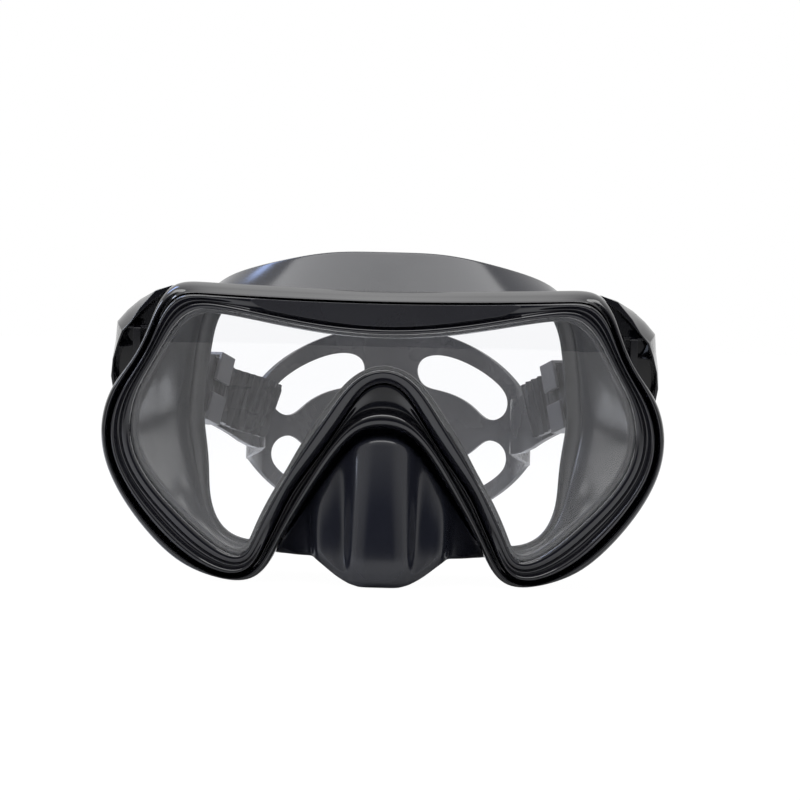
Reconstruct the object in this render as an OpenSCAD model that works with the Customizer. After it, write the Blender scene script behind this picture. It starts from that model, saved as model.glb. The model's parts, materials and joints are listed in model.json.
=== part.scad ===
// Single-window diving mask: moulded frame, clamped pane, silicone skirt with nose pocket,
// two swivelling ratchet buckles and a split-ring silicone strap.
// Millimetres. X runs across the face, Y from the front to the back, Z up.
// The mask stands on its two cheek lobes, its nose pocket and the strap's ring.

/* [Window] */
// Thickness of the pane
lens_thick = 3.5; // [3:0.1:4]
// Play between the pane and the parts that clamp it
lens_play = 0.05; // [0.02:0.01:0.1]

/* [Skirt] */
// Wall of the skirt at the frame
skirt_wall = 2.2; // [1.6:0.1:2.6]
// Thickness of the feather edge that seals on the face
feather_edge = 0.9; // [0.6:0.1:1.2]
// Width of the sealing flap that turns inwards
flap_width = 7.2; // [6:0.1:8]
// How far the nose block stands forward of the skirt's web
nose_proud = 21; // [16:0.5:22]

/* [Buckles] */
// Half the distance between the two inner lug plates' outer faces
lug_half = 78.6; // [78.4:0.1:78.8]
// Height of the swivel axis above the floor
swivel_z = 66; // [65:0.5:67]
// Distance of the swivel axis behind the pane's front face
swivel_y = 25; // [24:0.5:26]
// Diameter of the swivel pins
swivel_d = 5; // [4:0.25:5.5]
// Radius of the strap rollers
roller_r = 2.5; // [2.3:0.1:2.5]
// Diameter of the roller pins
roller_pin_d = 2.2; // [2:0.1:2.4]
// Diameter of the release levers' pins
lever_pin_d = 1.8; // [1.6:0.1:2]

/* [Strap] */
// Width of the ribbed strap arms
strap_width = 19; // [18:0.5:19.5]
// Thickness of the strap
strap_thick = 2; // [1.8:0.1:2.2]
// Pitch of the ribs that the ratchet grips
rib_pitch = 3; // [2.5:0.25:4]
// Number of ribs on each strap end
rib_count = 13; // [8:1:14]
// Half the height of the split ring
ring_half = 39; // [38:0.5:40]
// Extra inward turn of the left strap tail, in degrees
left_tail_turn = 27; // [10:1:28]
// Extra inward turn of the right strap tail, in degrees
right_tail_turn = 10; // [8:1:28]

/* [Hidden] */
$fn = 48;

// Everything below is laid out from the pane's front face; this puts the middle of the
// whole object's depth on the origin.
mid_depth = 90.2;
// Steps along each span between two outline points
span_steps = 2;

// ---- Outlines of the front, as half loops from the top middle round the side, the cheek
// ---- lobe and up the nose arch to its top. All have the same number of points.
outer_edge = [[0, 90.1], [20, 90.6], [40, 91.2], [56, 91.7], [65.6, 92.3], [70.6, 85.2], [73, 76.7],
              [77, 67.7], [83, 59.2], [86.8, 48.7], [85.8, 37.6], [79.8, 26.7], [71.2, 15.7],
              [60.2, 5.2], [47.4, -1.6], [37.6, 0.3], [32.6, 9], [28, 17.4], [22.6, 26], [17, 34.8],
              [12.2, 41.6], [7, 46.8], [0, 48.2]];
rib_edge = [[0, 88.9], [20, 89.4], [40, 90], [55.5, 90.6], [64.6, 91.1], [69.4, 84.8], [72, 76.5],
            [75.9, 67.6], [81.6, 59], [85.3, 48.7], [84.4, 38], [78.6, 27.5], [70.2, 16.9],
            [59.6, 7], [47.3, 0.6], [38.4, 2], [33.8, 10], [29.8, 18], [25.2, 26.2], [20.2, 35],
            [14.8, 43.4], [8.2, 50.2], [0, 51.8]];
bezel_edge = [[0, 86.7], [20, 86.9], [40, 87.4], [55, 88], [63.4, 88.4], [68.4, 82.9], [71, 75.3],
              [74.8, 66.7], [80.2, 58.5], [84, 48.6], [83.2, 37.9], [77.4, 27.5], [69, 16.9],
              [58.8, 7.3], [47, 1.6], [39.2, 3.4], [35.2, 11.4], [31.6, 19], [27.6, 28.4],
              [20.6, 37.4], [13, 48.8], [6.4, 60.4], [0, 62.4]];
valley_edge = [[0, 78], [20, 79.4], [39, 83], [51, 85.2], [60.2, 85.8], [66, 80.4], [69.6, 73],
               [73.4, 65.8], [77.8, 58.3], [80.8, 49.2], [80, 39], [74.6, 29], [65.8, 19.3],
               [56.2, 10.2], [46.4, 4.9], [40, 6], [36.9, 13.4], [32.8, 21.9], [28.6, 31],
               [22.2, 39.8], [15.4, 50.2], [8.2, 62], [0, 65.2]];
pane_edge = [[0, 76.4], [20, 77.8], [39, 81.4], [50.4, 83.4], [58.6, 83.8], [64.4, 78.9], [68.2, 71.6],
             [71.9, 65], [75.8, 58.1], [77.9, 49.6], [77.2, 39.9], [71.8, 30.2], [63.2, 21.2],
             [54, 12.6], [46, 7.6], [40.8, 8.4], [38.4, 15], [34, 24.4], [29.2, 33], [23.8, 42.2],
             [17.4, 51.6], [9.8, 63.4], [0, 67.4]];
edges = [outer_edge, rib_edge, bezel_edge, valley_edge, pane_edge];
half_count = len(outer_edge);

// The line where the skirt meets the face: x, depth and height.
face_line = [[0, 30, 103.3], [16, 30.5, 103.4], [31, 33, 100], [44, 38, 97], [55.3, 44.5, 93],
             [62, 49, 84], [64.2, 51, 74], [65.6, 52, 64], [66.4, 52, 55], [66.8, 51.5, 47],
             [65.2, 49.5, 38.5], [62.8, 47, 29], [60.6, 44, 18.8], [55.4, 41, 9.4], [47, 38.5, 5.2],
             [38.5, 36, 5.4], [31.5, 34.5, 6.6], [26, 33.5, 7], [20.5, 32.8, 5.6], [15, 32.4, 2.6],
             [11, 32, 0.6], [6.5, 32, -0.4], [0, 32, -0.6]];
face_middle_z = 52;

// How much a point belongs to the nose arch, to the recess at its top and to the brow.
arch_share = [for (i = [0 : half_count - 1]) i < 15 ? 0 : i == 15 ? 0.2 : i == 16 ? 0.75 : 1];
recess_share = [for (i = [0 : half_count - 1]) i < 20 ? 0 : i == 20 ? 0.3 : 1];
brow_share = [for (i = [0 : half_count - 1]) i < 3 ? 1 : i == 3 ? 0.5 : 0];

// Nose pocket: where each column of the arch ends below, and its share of the nose block.
first_column = 16;
column_x = [31, 25.5, 19, 13.5, 10.2, 8.6, 0];
column_foot = [5.6, 7.4, 6, 2.2, 0.6, -0.2, -0.6];
column_proud = [0, 0.05, 0.08, 0.14, 0.5, 0.97, 1];
web_depth = 8;

// ---- Curves -----------------------------------------------------------------------------
function lerp(a, b, t) = a + (b - a) * t;
function at(list, i) = list[(i + len(list)) % len(list)];
// A point between the outlines: 0 is the outer edge, 4 the pane's edge, beyond is carried on.
function between(i, s) = let (k = max(0, min(3, floor(s)))) lerp(edges[k][i], edges[k + 1][i], s - k);
function mirrored(half) = concat(half, [for (i = [len(half) - 2 : -1 : 1])
    len(half[i]) == 3 ? [-half[i].x, half[i].y, half[i].z] : [-half[i].x, half[i].y]]);
function spline(a, b, c, d, t) = (pow(1 - t, 3) * a + (3 * t * t * t - 6 * t * t + 4) * b
    + (-3 * t * t * t + 3 * t * t + 3 * t + 1) * c + t * t * t * d) / 6;
// The closed smooth curve through a half loop and its mirror image.
function smooth_loop(half, steps = span_steps) = let (pts = mirrored(half), n = len(pts))
    [for (i = [0 : n - 1], j = [0 : steps - 1])
        spline(at(pts, i - 1), pts[i], at(pts, i + 1), at(pts, i + 2), j / steps)];
// The open smooth curve through a half list and its mirror image, from right to left.
function smooth_band(half, steps) = let (n = len(half), last = n - 1)
    let (q = concat([[-half[1].x, half[1].y]], half, [2 * half[last] - half[last - 1]]))
    [for (i = [0 : last - 1], j = [0 : steps - 1]) spline(q[i], q[i + 1], q[i + 2], q[i + 3], j / steps)];

// A rail round the front at place s and depth y; share blends in a second depth.
function rail(s, y, y_there = undef, share = arch_share) = smooth_loop([for (i = [0 : half_count - 1])
    let (p = between(i, s)) [p.x, is_undef(y_there) ? y : lerp(y, y_there, share[i]), p.y]]);

// ---- Solids -----------------------------------------------------------------------------
// A closed ring whose section runs through the rails in turn; turned for a section drawn the other way.
module rail_ring(rails, turned = false) {
    rows = len(rails);
    n = len(rails[0]);
    points = [for (r = rails, p = r) p];
    faces = [for (r = [0 : rows - 1], i = [0 : n - 1]) let (
        a = r * n + i, b = r * n + (i + 1) % n,
        c = ((r + 1) % rows) * n + (i + 1) % n, d = ((r + 1) % rows) * n + i)
        each turned ? [[a, c, b], [a, d, c]] : [[a, b, c], [a, c, d]]];
    polyhedron(points = points, faces = faces, convexity = 12);
}

// Puts a part that is laid out from the pane's front face into the object's frame.
module placed() {
    translate([0, -mid_depth, 0]) children();
}

// A plate with the outline in x and z, between two depths.
module front_plate(y0, y1) {
    translate([0, y1, 0]) rotate([90, 0, 0]) linear_extrude(y1 - y0, convexity = 10) children();
}

// A plate with the outline in depth and height, between two x values.
module side_plate(x0, x1) {
    translate([x0, 0, 0]) rotate([90, 0, 90]) linear_extrude(x1 - x0, convexity = 10) children();
}

// Left side is the mirror image of the right.
module on_side(side) {
    mirror([side < 0 ? 1 : 0, 0, 0]) children();
}

// ---- Front ------------------------------------------------------------------------------
ledge_y = 6.6;
frame_back = 11;

module frame() {
    rails = [
        rail(0, 2.5, 3.5), rail(0.25, -0.4, 0.6), rail(0.7, -1.5, -0.8), rail(1.1, -1.6, -0.6),
        rail(1.25, -1.5, 2.6, recess_share), rail(1.75, -1.2, 2.6, recess_share),
        rail(1.92, -0.6), rail(1.99, 0), rail(1.99, ledge_y), rail(3.3, ledge_y),
        rail(3.3, 9.6), rail(3.1, frame_back), rail(0.2, frame_back), rail(0, 9.8)];
    color([0.07, 0.07, 0.08]) placed() rail_ring([for (r = rails) [for (p = r) on_floor(p)]]);
}

module bezel() {
    color([0.05, 0.05, 0.06]) placed() rail_ring([
        rail(2.04, -0.2), rail(2.12, -2.1, -0.3, brow_share), rail(2.45, -2.5, -0.3, brow_share),
        rail(2.75, -1.2, -0.3, brow_share), rail(2.95, -0.9, -0.5, brow_share), rail(3.2, -1.7),
        rail(3.7, -1.9), rail(4, -1.2), rail(4.02, 0.3), rail(2.82, 0.3), rail(2.8, 3.8),
        rail(2.06, 3.8)]);
}

module lens() {
    outline = [for (p = rail(2.9, 0)) [p.x, p.z]];
    color([0.75, 0.8, 0.82, 0.4]) placed()
        front_plate(0.3 + lens_play, 0.3 + lens_play + lens_thick) polygon(outline);
}

brow_lower = [[0, 79.2], [10, 79.6], [20, 80.8], [31, 82.6], [37.6, 83.8], [41.6, 86], [42.4, 86.9]];
brow_upper = [[0, 86.2], [10, 86.25], [20, 86.4], [30, 86.6], [37.6, 86.9], [41.6, 87.1], [42.4, 86.9]];

module brow_panel() {
    lower = smooth_band(brow_lower, 3);
    upper = smooth_band(brow_upper, 3);
    right = concat(lower, [for (i = [len(upper) - 1 : -1 : 0]) upper[i]]);
    left = [for (i = [len(right) - 1 : -1 : 0]) [-right[i].x, right[i].y]];
    color([0.2, 0.2, 0.21]) placed() front_plate(-1.7, -0.75) union() {
        polygon(right);
        polygon(left);
    }
}

// ---- Skirt ------------------------------------------------------------------------------
// Share of the way from frame to face at each row of the wall.
wall_rows = [0.1, 0.18, 0.26, 0.34, 0.42, 0.5, 0.58, 0.68, 0.8, 0.92, 1];
// The nose pocket's front: share of the way down and share of its full projection.
nose_rows = [[0.08, 0.3], [0.2, 0.8], [0.45, 1], [0.8, 0.97]];
nose_floor_rows = [0, 0.3, 0.6, 0.85, 1];

function wall_point(i, t) = let (a = between(i, 3.4), f = face_line[i])
    [lerp(a.x, f.x, t), lerp(frame_back + 0.8, f.y, t), lerp(a.y, f.z, t)];
function nose_point(i, row) = let (
    c = max(0, i - first_column), top = between(max(i, first_column), -0.35),
    foot = [column_x[c], column_foot[c]], f = face_line[i],
    behind = between(i, 1.6), under = between(i, -0.3),
    front = function (t, g) [lerp(top.x, foot.x, t), web_depth - nose_proud * column_proud[c] * g,
        lerp(top.y, foot.y, t)])
    row == 0 ? [behind.x, frame_back + 1.2, behind.y] :
    row == 1 ? [under.x, frame_back + 0.8, under.y] :
    row < 6 ? front(nose_rows[row - 2][0], nose_rows[row - 2][1]) :
    lerp(front(1, 0.7), f, nose_floor_rows[row - 6]);
function inwards(p) = let (v = [-p.x, 0, face_middle_z - p.z]) v / norm(v);

skirt_outer = concat(
    [rail(3.5, 8), rail(3.5, frame_back + 0.8)],
    [for (r = [0 : len(wall_rows) - 1]) smooth_loop([for (i = [0 : half_count - 1])
        lerp(wall_point(i, wall_rows[r]), nose_point(i, r), arch_share[i])])],
    [for (f = [[0.3, 1.6], [0.62, 1.9], [1, 1.3]]) smooth_loop([for (p = face_line)
        p + inwards(p) * flap_width * f[0] + [0, f[1], 0]])]);

// Unit normal of the skirt's outer surface at a grid point.
function surface_normal(grid, r, i) = let (
    along = at(grid[r], i + 2) - at(grid[r], i - 2),
    across = grid[min(r + 1, len(grid) - 1)][i] - grid[max(r - 1, 0)][i],
    v = cross(across, along)) v / norm(v);
function on_floor(p) = [p.x, p.y, max(p.z, 0)];
function skirt_thick(r) = lerp(skirt_wall, feather_edge, pow(r / (len(skirt_outer) - 1), 2));

module skirt() {
    rows = len(skirt_outer);
    inner = [for (r = [rows - 1 : -1 : 0]) [for (i = [0 : len(skirt_outer[0]) - 1])
        on_floor(skirt_outer[r][i]) + surface_normal(skirt_outer, r, i) * skirt_thick(r)]];
    outer = [for (r = skirt_outer) [for (p = r) on_floor(p)]];
    color([0.12, 0.12, 0.13]) placed() rail_ring(concat(
        [rail(4.6, 4), rail(2.14, 4), rail(2.14, 6.4), rail(3.4, 6.4)], outer, inner,
        [rail(4.6, 6.6)]), true);
}

// ---- Side brackets and buckles, drawn on the right side ----------------------------------
bracket_front = frame_back;
bracket_back = 34;
shell = 1.8;
cheek_thick = 1.6;
outer_plate_x = 85.6;

module bracket_shell() {
    polygon([[69.5, 90.2], [73, 88.8], [77.5, 86], [81.5, 82.6], [84.6, 78.6], [86.2, 73.6], [87.1, 67.5],
             [87.2, 61.5], [86, 56.6], [84.2, 55], [83.6, 56.6], [84.6, 59.4], [85.5, 63.5], [85.5, 67.5],
             [84.6, 73], [83, 77.4], [80.2, 80.8], [76.6, 83.6], [73.4, 85.2], [71.4, 84.4]]);
}

module side_bracket(side) {
    color([0.1, 0.1, 0.11]) on_side(side) placed() difference() {
        union() {
            intersection() {
                front_plate(bracket_front, bracket_back) bracket_shell();
                side_plate(60, 90) polygon([[bracket_front, 50], [28, 53], [33, 58], [bracket_back, 63],
                    [bracket_back, 69], [33, 73], [27, 77.5], [21, 80], [19, 91], [bracket_front, 91]]);
            }
            side_plate(lug_half - 2.4, lug_half) union() {
                translate([swivel_y, swivel_z]) circle(7);
                polygon([[bracket_front, 63], [swivel_y, swivel_z - 7], [swivel_y, swivel_z + 7],
                         [bracket_front, 84.5]]);
            }
            front_plate(bracket_front, bracket_front + 2) polygon([[72.4, 84.4], [74.6, 80], [76.4, 74],
                [78.6, 68.5], [81.6, 63.6], [84.2, 59.4], [84.2, 55.4], [80.5, 55],
                [lug_half - 2.4, 66], [71.6, 80]]);
        }
        translate([0, swivel_y, swivel_z]) rotate([0, 90, 0]) cylinder(h = 100, d = swivel_d);
    }
}

module swivel_pin(side) {
    color([0.55, 0.56, 0.58]) on_side(side) placed() translate([lug_half - 3.4, swivel_y, swivel_z])
        rotate([0, 90, 0]) {
            cylinder(h = 1, d = swivel_d + 3);
            cylinder(h = outer_plate_x + 0.6 - lug_half + 3.4, d = swivel_d);
        }
}

// Plan of the strap: arcs and straight runs, as headings clockwise from +X.
rear_y = 192.6;
rear_arc = [95, 0, 22];
corner_arc = [27, 22, 112];
neck_arc = [-74, 112, 57];
arm_heading = neck_arc[2];
arm_end_y = swivel_y + 19;
wrap_r = roller_r + 0.1 + strap_thick / 2;
wrap_turn = 185.5;
function heading(a) = [cos(a), -sin(a)];
// Points of an arc that starts at p; a negative radius bends the other way.
function arc(p, a, steps) = [for (k = [0 : steps]) let (h = lerp(a[1], a[2], k / steps))
    p + a[0] * [sin(h) - sin(a[1]), cos(h) - cos(a[1])]];
function last(v) = v[len(v) - 1];
function drop_first(v) = [for (k = [1 : len(v) - 1]) v[k]];

rear_points = arc([0, rear_y], rear_arc, 6);
corner_points = arc(last(rear_points), corner_arc, 14);
neck_points = arc(last(corner_points), neck_arc, 8);
arm_start = last(neck_points);
arm_end = arm_start + heading(arm_heading) * (arm_start.y - arm_end_y) / sin(arm_heading);
roller_at = arm_end + heading(arm_heading + 90) * wrap_r;
wrap_points = arc(arm_end, [wrap_r, arm_heading, arm_heading + wrap_turn], 16);
tail_heading = arm_heading + wrap_turn;
keeper_run = 38;
keeper_point = last(wrap_points) + heading(tail_heading) * keeper_run;
keeper_y = keeper_point.y + 0.8;
tail_return = 0.65;
function tail_points(turn) = let (
    a = keeper_point + heading(tail_heading) * 5,
    bend = arc(a, [-16, tail_heading, tail_heading - turn], 5),
    b = last(bend) + heading(tail_heading - turn) * 6,
    back = arc(b, [30, tail_heading - turn, tail_heading - turn * (1 - tail_return)], 5))
    concat([a], drop_first(bend), back);

// Sideways unit vector of a path at point k, towards its left.
function side_of(path, k) = let (d = path[min(k + 1, len(path) - 1)] - path[max(k - 1, 0)],
    u = d / norm(d)) [-u.y, u.x];
function offset_path(path, w) = [for (k = [0 : len(path) - 1]) path[k] + side_of(path, k) * w];
function mirror_x(path) = [for (p = path) [-p.x, p.y]];
function reversed(v) = [for (k = [len(v) - 1 : -1 : 0]) v[k]];
function sum(v, k = 0) = k == len(v) ? 0 : v[k] + sum(v, k + 1);

// A point beside a path: s along it and w to its left.
function beside(path, s, w, k = 0) = let (d = path[k + 1] - path[k], run = norm(d), u = d / run)
    s <= run || k == len(path) - 2 ? path[k] + u * s + [-u.y, u.x] * w : beside(path, s - run, w, k + 1);
// The ribbed face of a strap end, with the first rib next to its tip.
rib_high = 0.75;
function ribbed_face(tail) = let (
    total = sum([for (k = [0 : len(tail) - 2]) norm(tail[k + 1] - tail[k])]))
    [for (r = [rib_count - 1 : -1 : 0], q = [[-0.8, 0], [-0.35, rib_high], [0.35, rib_high], [0.8, 0]])
        beside(tail, total - 1.5 - r * rib_pitch + q[0], strap_thick / 2 + q[1])];
// Half of the strap's plan, from the middle of its back to the tail's tip and back again.
function half_outline(turn) = let (
    body = concat(rear_points, drop_first(corner_points), drop_first(neck_points), drop_first(wrap_points)),
    tail = concat([last(wrap_points), keeper_point], tail_points(turn)))
    concat(offset_path(body, strap_thick / 2), ribbed_face(tail), [last(tail)],
        reversed(offset_path(concat(body, drop_first(tail)), -strap_thick / 2)));

strap_z = swivel_z;
ring_z = ring_half - 0.5;
// The strap's fall below the swivels: depth, fall, and how far the sloping band is taller.
fall = [[20, 0, 0], [49, 0, 0], [60, 3.9, 0.7], [keeper_y, 10, 0.8], [94, 18.2, 0.8], [108, 21.6, 0.4],
        [122, 22.7, 0.2]];

module strap_plan() {
    left = mirror_x(half_outline(left_tail_turn));
    polygon(concat(half_outline(right_tail_turn), [for (k = [len(left) - 2 : -1 : 1]) left[k]]));
}

half_band = strap_width / 2;
// The strap's height along its depth, seen from the side.
side_top = concat(
    [for (f = fall) [f.x, strap_z - f.y + half_band + f.z]],
    [[134, 51.8], [146, 50], [160, 51.8], [172, 57.4], [181, 65.6], [185.7, 71.4], [188, 75], [192, 83],
     [200, 91]]);
side_low = concat(
    [[200, -12], [192, -4], [188, 3.8], [185.7, 7.4], [181, 13.2], [172, 21.4], [160, 27], [146, 30],
     [134, 32.6]],
    [for (k = [len(fall) - 1 : -1 : 0]) [fall[k].x, strap_z - fall[k].y - half_band - fall[k].z]]);
ring_width = 54.5;
bar_half = 9.4;

module ring_front() {
    steps = 48;
    polygon([for (k = [0 : steps - 1]) let (a = 360 * k / steps)
        [(ring_width + 0.5) * cos(a), ring_z + ring_half * sin(a)]]);
    translate([-90, ring_z - bar_half]) square([180, 2 * bar_half]);
}

// One upper and one lower window of the ring, right side.
upper_window = [[12.5, 54.4], [9.6, 60], [11.4, 66], [19.5, 67.6], [30, 64.4], [40, 58.6], [46.8, 52.2],
                [45.4, 43.6], [37.6, 41.2], [32.6, 47.6], [25, 51.8], [18, 53.4]];
lower_window = [for (p = upper_window) [p.x, 2 * ring_z - p.y]];

function smooth_closed(pts, steps) = [for (i = [0 : len(pts) - 1], j = [0 : steps - 1])
    spline(at(pts, i - 1), pts[i], at(pts, i + 1), at(pts, i + 2), j / steps)];

module strap() {
    color([0.16, 0.16, 0.17]) placed() difference() {
        intersection() {
            linear_extrude(120, convexity = 20) strap_plan();
            side_plate(-95, 95) polygon(concat(side_top, side_low));
        }
        front_plate(131, 200) difference() {
            translate([-95, -10]) square([190, 110]);
            ring_front();
        }
        for (side = [0, 1]) mirror([side, 0, 0]) {
            front_plate(150, 200) polygon(smooth_closed(upper_window, 2));
            front_plate(150, 200) polygon(smooth_closed(lower_window, 2));
        }
    }
}

buckle_half = half_band + 1.2;
lever_at = [roller_at.x + 6.4, roller_at.y + 1.6];
web_x = 81.3;

module cheek_plan() {
    translate(roller_at) circle(5.4);
    translate(lever_at) circle(2.1);
    polygon([[lug_half + 0.3, 31], [web_x, 31], [web_x + 0.6, 35], [lever_at.x + 2, lever_at.y - 1.4],
             [lever_at.x + 2, lever_at.y + 1],
             [lever_at.x, lever_at.y + 2.1], [roller_at.x + 1, roller_at.y + 5.3],
             [roller_at.x - 5.2, roller_at.y + 1.4], [roller_at.x - 5.2, roller_at.y - 1.4]]);
}

module buckle_body(side) {
    color([0.09, 0.09, 0.1]) on_side(side) placed() difference() {
        union() {
            translate([lug_half + 0.3, swivel_y, swivel_z]) rotate([0, 90, 0])
                cylinder(h = 5.8, d = swivel_d + 3.4);
            side_plate(lug_half + 0.3, web_x) union() {
                translate([swivel_y, swivel_z]) circle(6.6);
                polygon([[swivel_y, swivel_z - 6.6], [31, swivel_z - buckle_half - cheek_thick],
                         [34.4, swivel_z - buckle_half - cheek_thick],
                         [34.4, swivel_z + buckle_half + cheek_thick],
                         [31, swivel_z + buckle_half + cheek_thick], [swivel_y, swivel_z + 6.6]]);
            }
            for (z = [swivel_z - buckle_half - cheek_thick, swivel_z + buckle_half])
                translate([0, 0, z]) linear_extrude(cheek_thick) cheek_plan();
        }
        translate([0, swivel_y, swivel_z]) rotate([0, 90, 0]) cylinder(h = 100, d = swivel_d + 0.1);
        translate([roller_at.x, roller_at.y, 0]) cylinder(h = 100, d = roller_pin_d);
        translate([lever_at.x, lever_at.y, 0]) cylinder(h = 100, d = lever_pin_d);
    }
}

roller_half = half_band + 0.7;

module roller(side) {
    color([0.62, 0.63, 0.65]) on_side(side) placed()
        translate([roller_at.x, roller_at.y, swivel_z - roller_half]) difference() {
            cylinder(h = 2 * roller_half, r = roller_r);
            translate([0, 0, -1]) cylinder(h = 2 * roller_half + 2, d = roller_pin_d + 0.1);
        }
}

module roller_pin(side) {
    reach = buckle_half + cheek_thick + 0.3;
    color([0.7, 0.71, 0.73]) on_side(side) placed()
        translate([roller_at.x, roller_at.y, swivel_z - reach]) cylinder(h = 2 * reach, d = roller_pin_d);
}

module lever_pin(side) {
    reach = buckle_half + cheek_thick + 0.2;
    color([0.7, 0.71, 0.73]) on_side(side) placed()
        translate([lever_at.x, lever_at.y, swivel_z - reach]) cylinder(h = 2 * reach, d = lever_pin_d);
}

lever_half = half_band - 0.5;
spring_half = 2.6;

module release_lever(side) {
    color([0.13, 0.13, 0.14]) on_side(side) placed() difference() {
        translate([lever_at.x, lever_at.y, swivel_z - lever_half]) {
            cylinder(h = 2 * lever_half, r = 1.7);
            linear_extrude(2 * lever_half)
                polygon([[-1.3, 1], [-1.6, 6], [-3.6, 12], [-2.2, 12.8], [0, 7], [1.3, 1]]);
        }
        translate([lever_at.x, lever_at.y, 0]) cylinder(h = 100, d = lever_pin_d + 0.1);
        translate([lever_at.x - 4, lever_at.y - 3, swivel_z - spring_half]) cube([8, 5.4, 2 * spring_half]);
    }
}

// Torsion spring: a helix of round wire about the lever's pin.
spring_wire = 0.5;
spring_r = lever_pin_d / 2 + 0.45;
spring_turns = 4;
spring_sides = 6;
spring_steps = 12;

module lever_spring(side) {
    n = spring_turns * spring_steps;
    rise = 2 * (spring_half - spring_wire) / n;
    function centre(k) = [spring_r * cos(360 * k / spring_steps), spring_r * sin(360 * k / spring_steps),
        k * rise - spring_half + spring_wire];
    rings = [for (k = [0 : n]) let (c = centre(k), a = 360 * k / spring_steps)
        [for (s = [0 : spring_sides - 1]) let (b = 360 * s / spring_sides)
            c + spring_wire / 2 * [cos(a) * cos(b), sin(a) * cos(b), sin(b)]]];
    faces = concat(
        [for (k = [0 : n - 1], s = [0 : spring_sides - 1]) let (
            a = k * spring_sides + s, b = k * spring_sides + (s + 1) % spring_sides)
            each [[a, b, b + spring_sides], [a, b + spring_sides, a + spring_sides]]],
        [[for (s = [spring_sides - 1 : -1 : 0]) s]],
        [[for (s = [0 : spring_sides - 1]) n * spring_sides + s]]);
    color([0.6, 0.6, 0.62]) on_side(side) placed() translate([lever_at.x, lever_at.y, swivel_z])
        polyhedron(points = [for (r = rings, p = r) p], faces = faces, convexity = 10);
}

// Keeper: a C-shaped clip round arm and tail, open between its two tabs.
keeper_length = 7.5;
keeper_wall = 1.3;
keeper_play = 0.35;
keeper_deep = 2 * strap_thick + 3.7;
keeper_high = half_band + 1.1;
keeper_slope = 0.42;

module keeper_section() {
    h = keeper_high;
    d = keeper_deep;
    difference() {
        translate([-keeper_wall, -h - keeper_wall]) square([d + 2 * keeper_wall, 2 * (h + keeper_wall)]);
        translate([0, -h]) square([d, 2 * h]);
        translate([d - 0.5, -2.2]) square([keeper_wall + 1, 4.4]);
    }
}

module strap_keeper(side) {
    run = (arm_start.y - keeper_y) / sin(arm_heading);
    arm_point = arm_start + heading(arm_heading) * run;
    out = heading(arm_heading - 90) * (strap_thick / 2 + keeper_play);
    droop = atan(keeper_slope * sin(arm_heading));
    color([0.14, 0.14, 0.15]) on_side(side) placed()
        translate([arm_point.x + out.x, arm_point.y + out.y, strap_z - 9.6])
        rotate([0, 0, 90 - arm_heading])
        rotate([-droop, 0, 0]) rotate([90, 0, 0]) translate([0, 0, -keeper_length / 2])
        mirror([1, 0, 0]) linear_extrude(keeper_length) keeper_section();
}

module side_bracket_left() { side_bracket(-1); }
module side_bracket_right() { side_bracket(1); }
module swivel_pin_left() { swivel_pin(-1); }
module swivel_pin_right() { swivel_pin(1); }
module buckle_body_left() { buckle_body(-1); }
module buckle_body_right() { buckle_body(1); }
module roller_left() { roller(-1); }
module roller_right() { roller(1); }
module roller_pin_left() { roller_pin(-1); }
module roller_pin_right() { roller_pin(1); }
module release_lever_left() { release_lever(-1); }
module release_lever_right() { release_lever(1); }
module lever_pin_left() { lever_pin(-1); }
module lever_pin_right() { lever_pin(1); }
module lever_spring_left() { lever_spring(-1); }
module lever_spring_right() { lever_spring(1); }
module strap_keeper_left() { strap_keeper(-1); }
module strap_keeper_right() { strap_keeper(1); }

frame();
bezel();
lens();
brow_panel();
skirt();
side_bracket_left();
side_bracket_right();
swivel_pin_left();
swivel_pin_right();
buckle_body_left();
buckle_body_right();
roller_left();
roller_right();
roller_pin_left();
roller_pin_right();
release_lever_left();
release_lever_right();
lever_pin_left();
lever_pin_right();
lever_spring_left();
lever_spring_right();
strap_keeper_left();
strap_keeper_right();
strap();
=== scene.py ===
"""A single-window diving mask in a pale studio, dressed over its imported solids.

Every place is given in millimetres in the layout that the solids use: x across the face, y from
the pane's front face to the back and z up from the floor. `spot` turns it into the frame's metres.
"""

from __future__ import annotations

import json
import logging
import math
from collections.abc import Callable, Sequence
from dataclasses import dataclass, field
from enum import Enum

import bmesh
import bpy
from mathutils import Matrix, Quaternion, Vector


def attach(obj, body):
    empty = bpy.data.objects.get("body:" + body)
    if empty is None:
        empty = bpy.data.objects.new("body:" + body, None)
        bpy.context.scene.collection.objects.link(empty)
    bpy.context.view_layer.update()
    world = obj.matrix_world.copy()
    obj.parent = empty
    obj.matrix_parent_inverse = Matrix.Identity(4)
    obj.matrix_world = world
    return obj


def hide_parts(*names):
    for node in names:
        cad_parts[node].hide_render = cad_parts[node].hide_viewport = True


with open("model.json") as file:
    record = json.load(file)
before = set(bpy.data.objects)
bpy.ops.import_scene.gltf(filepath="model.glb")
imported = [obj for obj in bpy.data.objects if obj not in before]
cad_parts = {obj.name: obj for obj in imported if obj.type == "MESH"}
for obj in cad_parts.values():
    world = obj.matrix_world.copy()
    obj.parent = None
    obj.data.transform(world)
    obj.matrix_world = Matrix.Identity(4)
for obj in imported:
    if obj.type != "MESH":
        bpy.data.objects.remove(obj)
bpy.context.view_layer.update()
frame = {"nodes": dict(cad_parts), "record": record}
LOG = logging.getLogger("diving_mask")

MM = 0.001
MID_DEPTH = 90.2
IMAGE_SIZE = 800

Pair = tuple[float, float]
Triple = tuple[float, float, float]
Colour = tuple[float, float, float]

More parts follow.
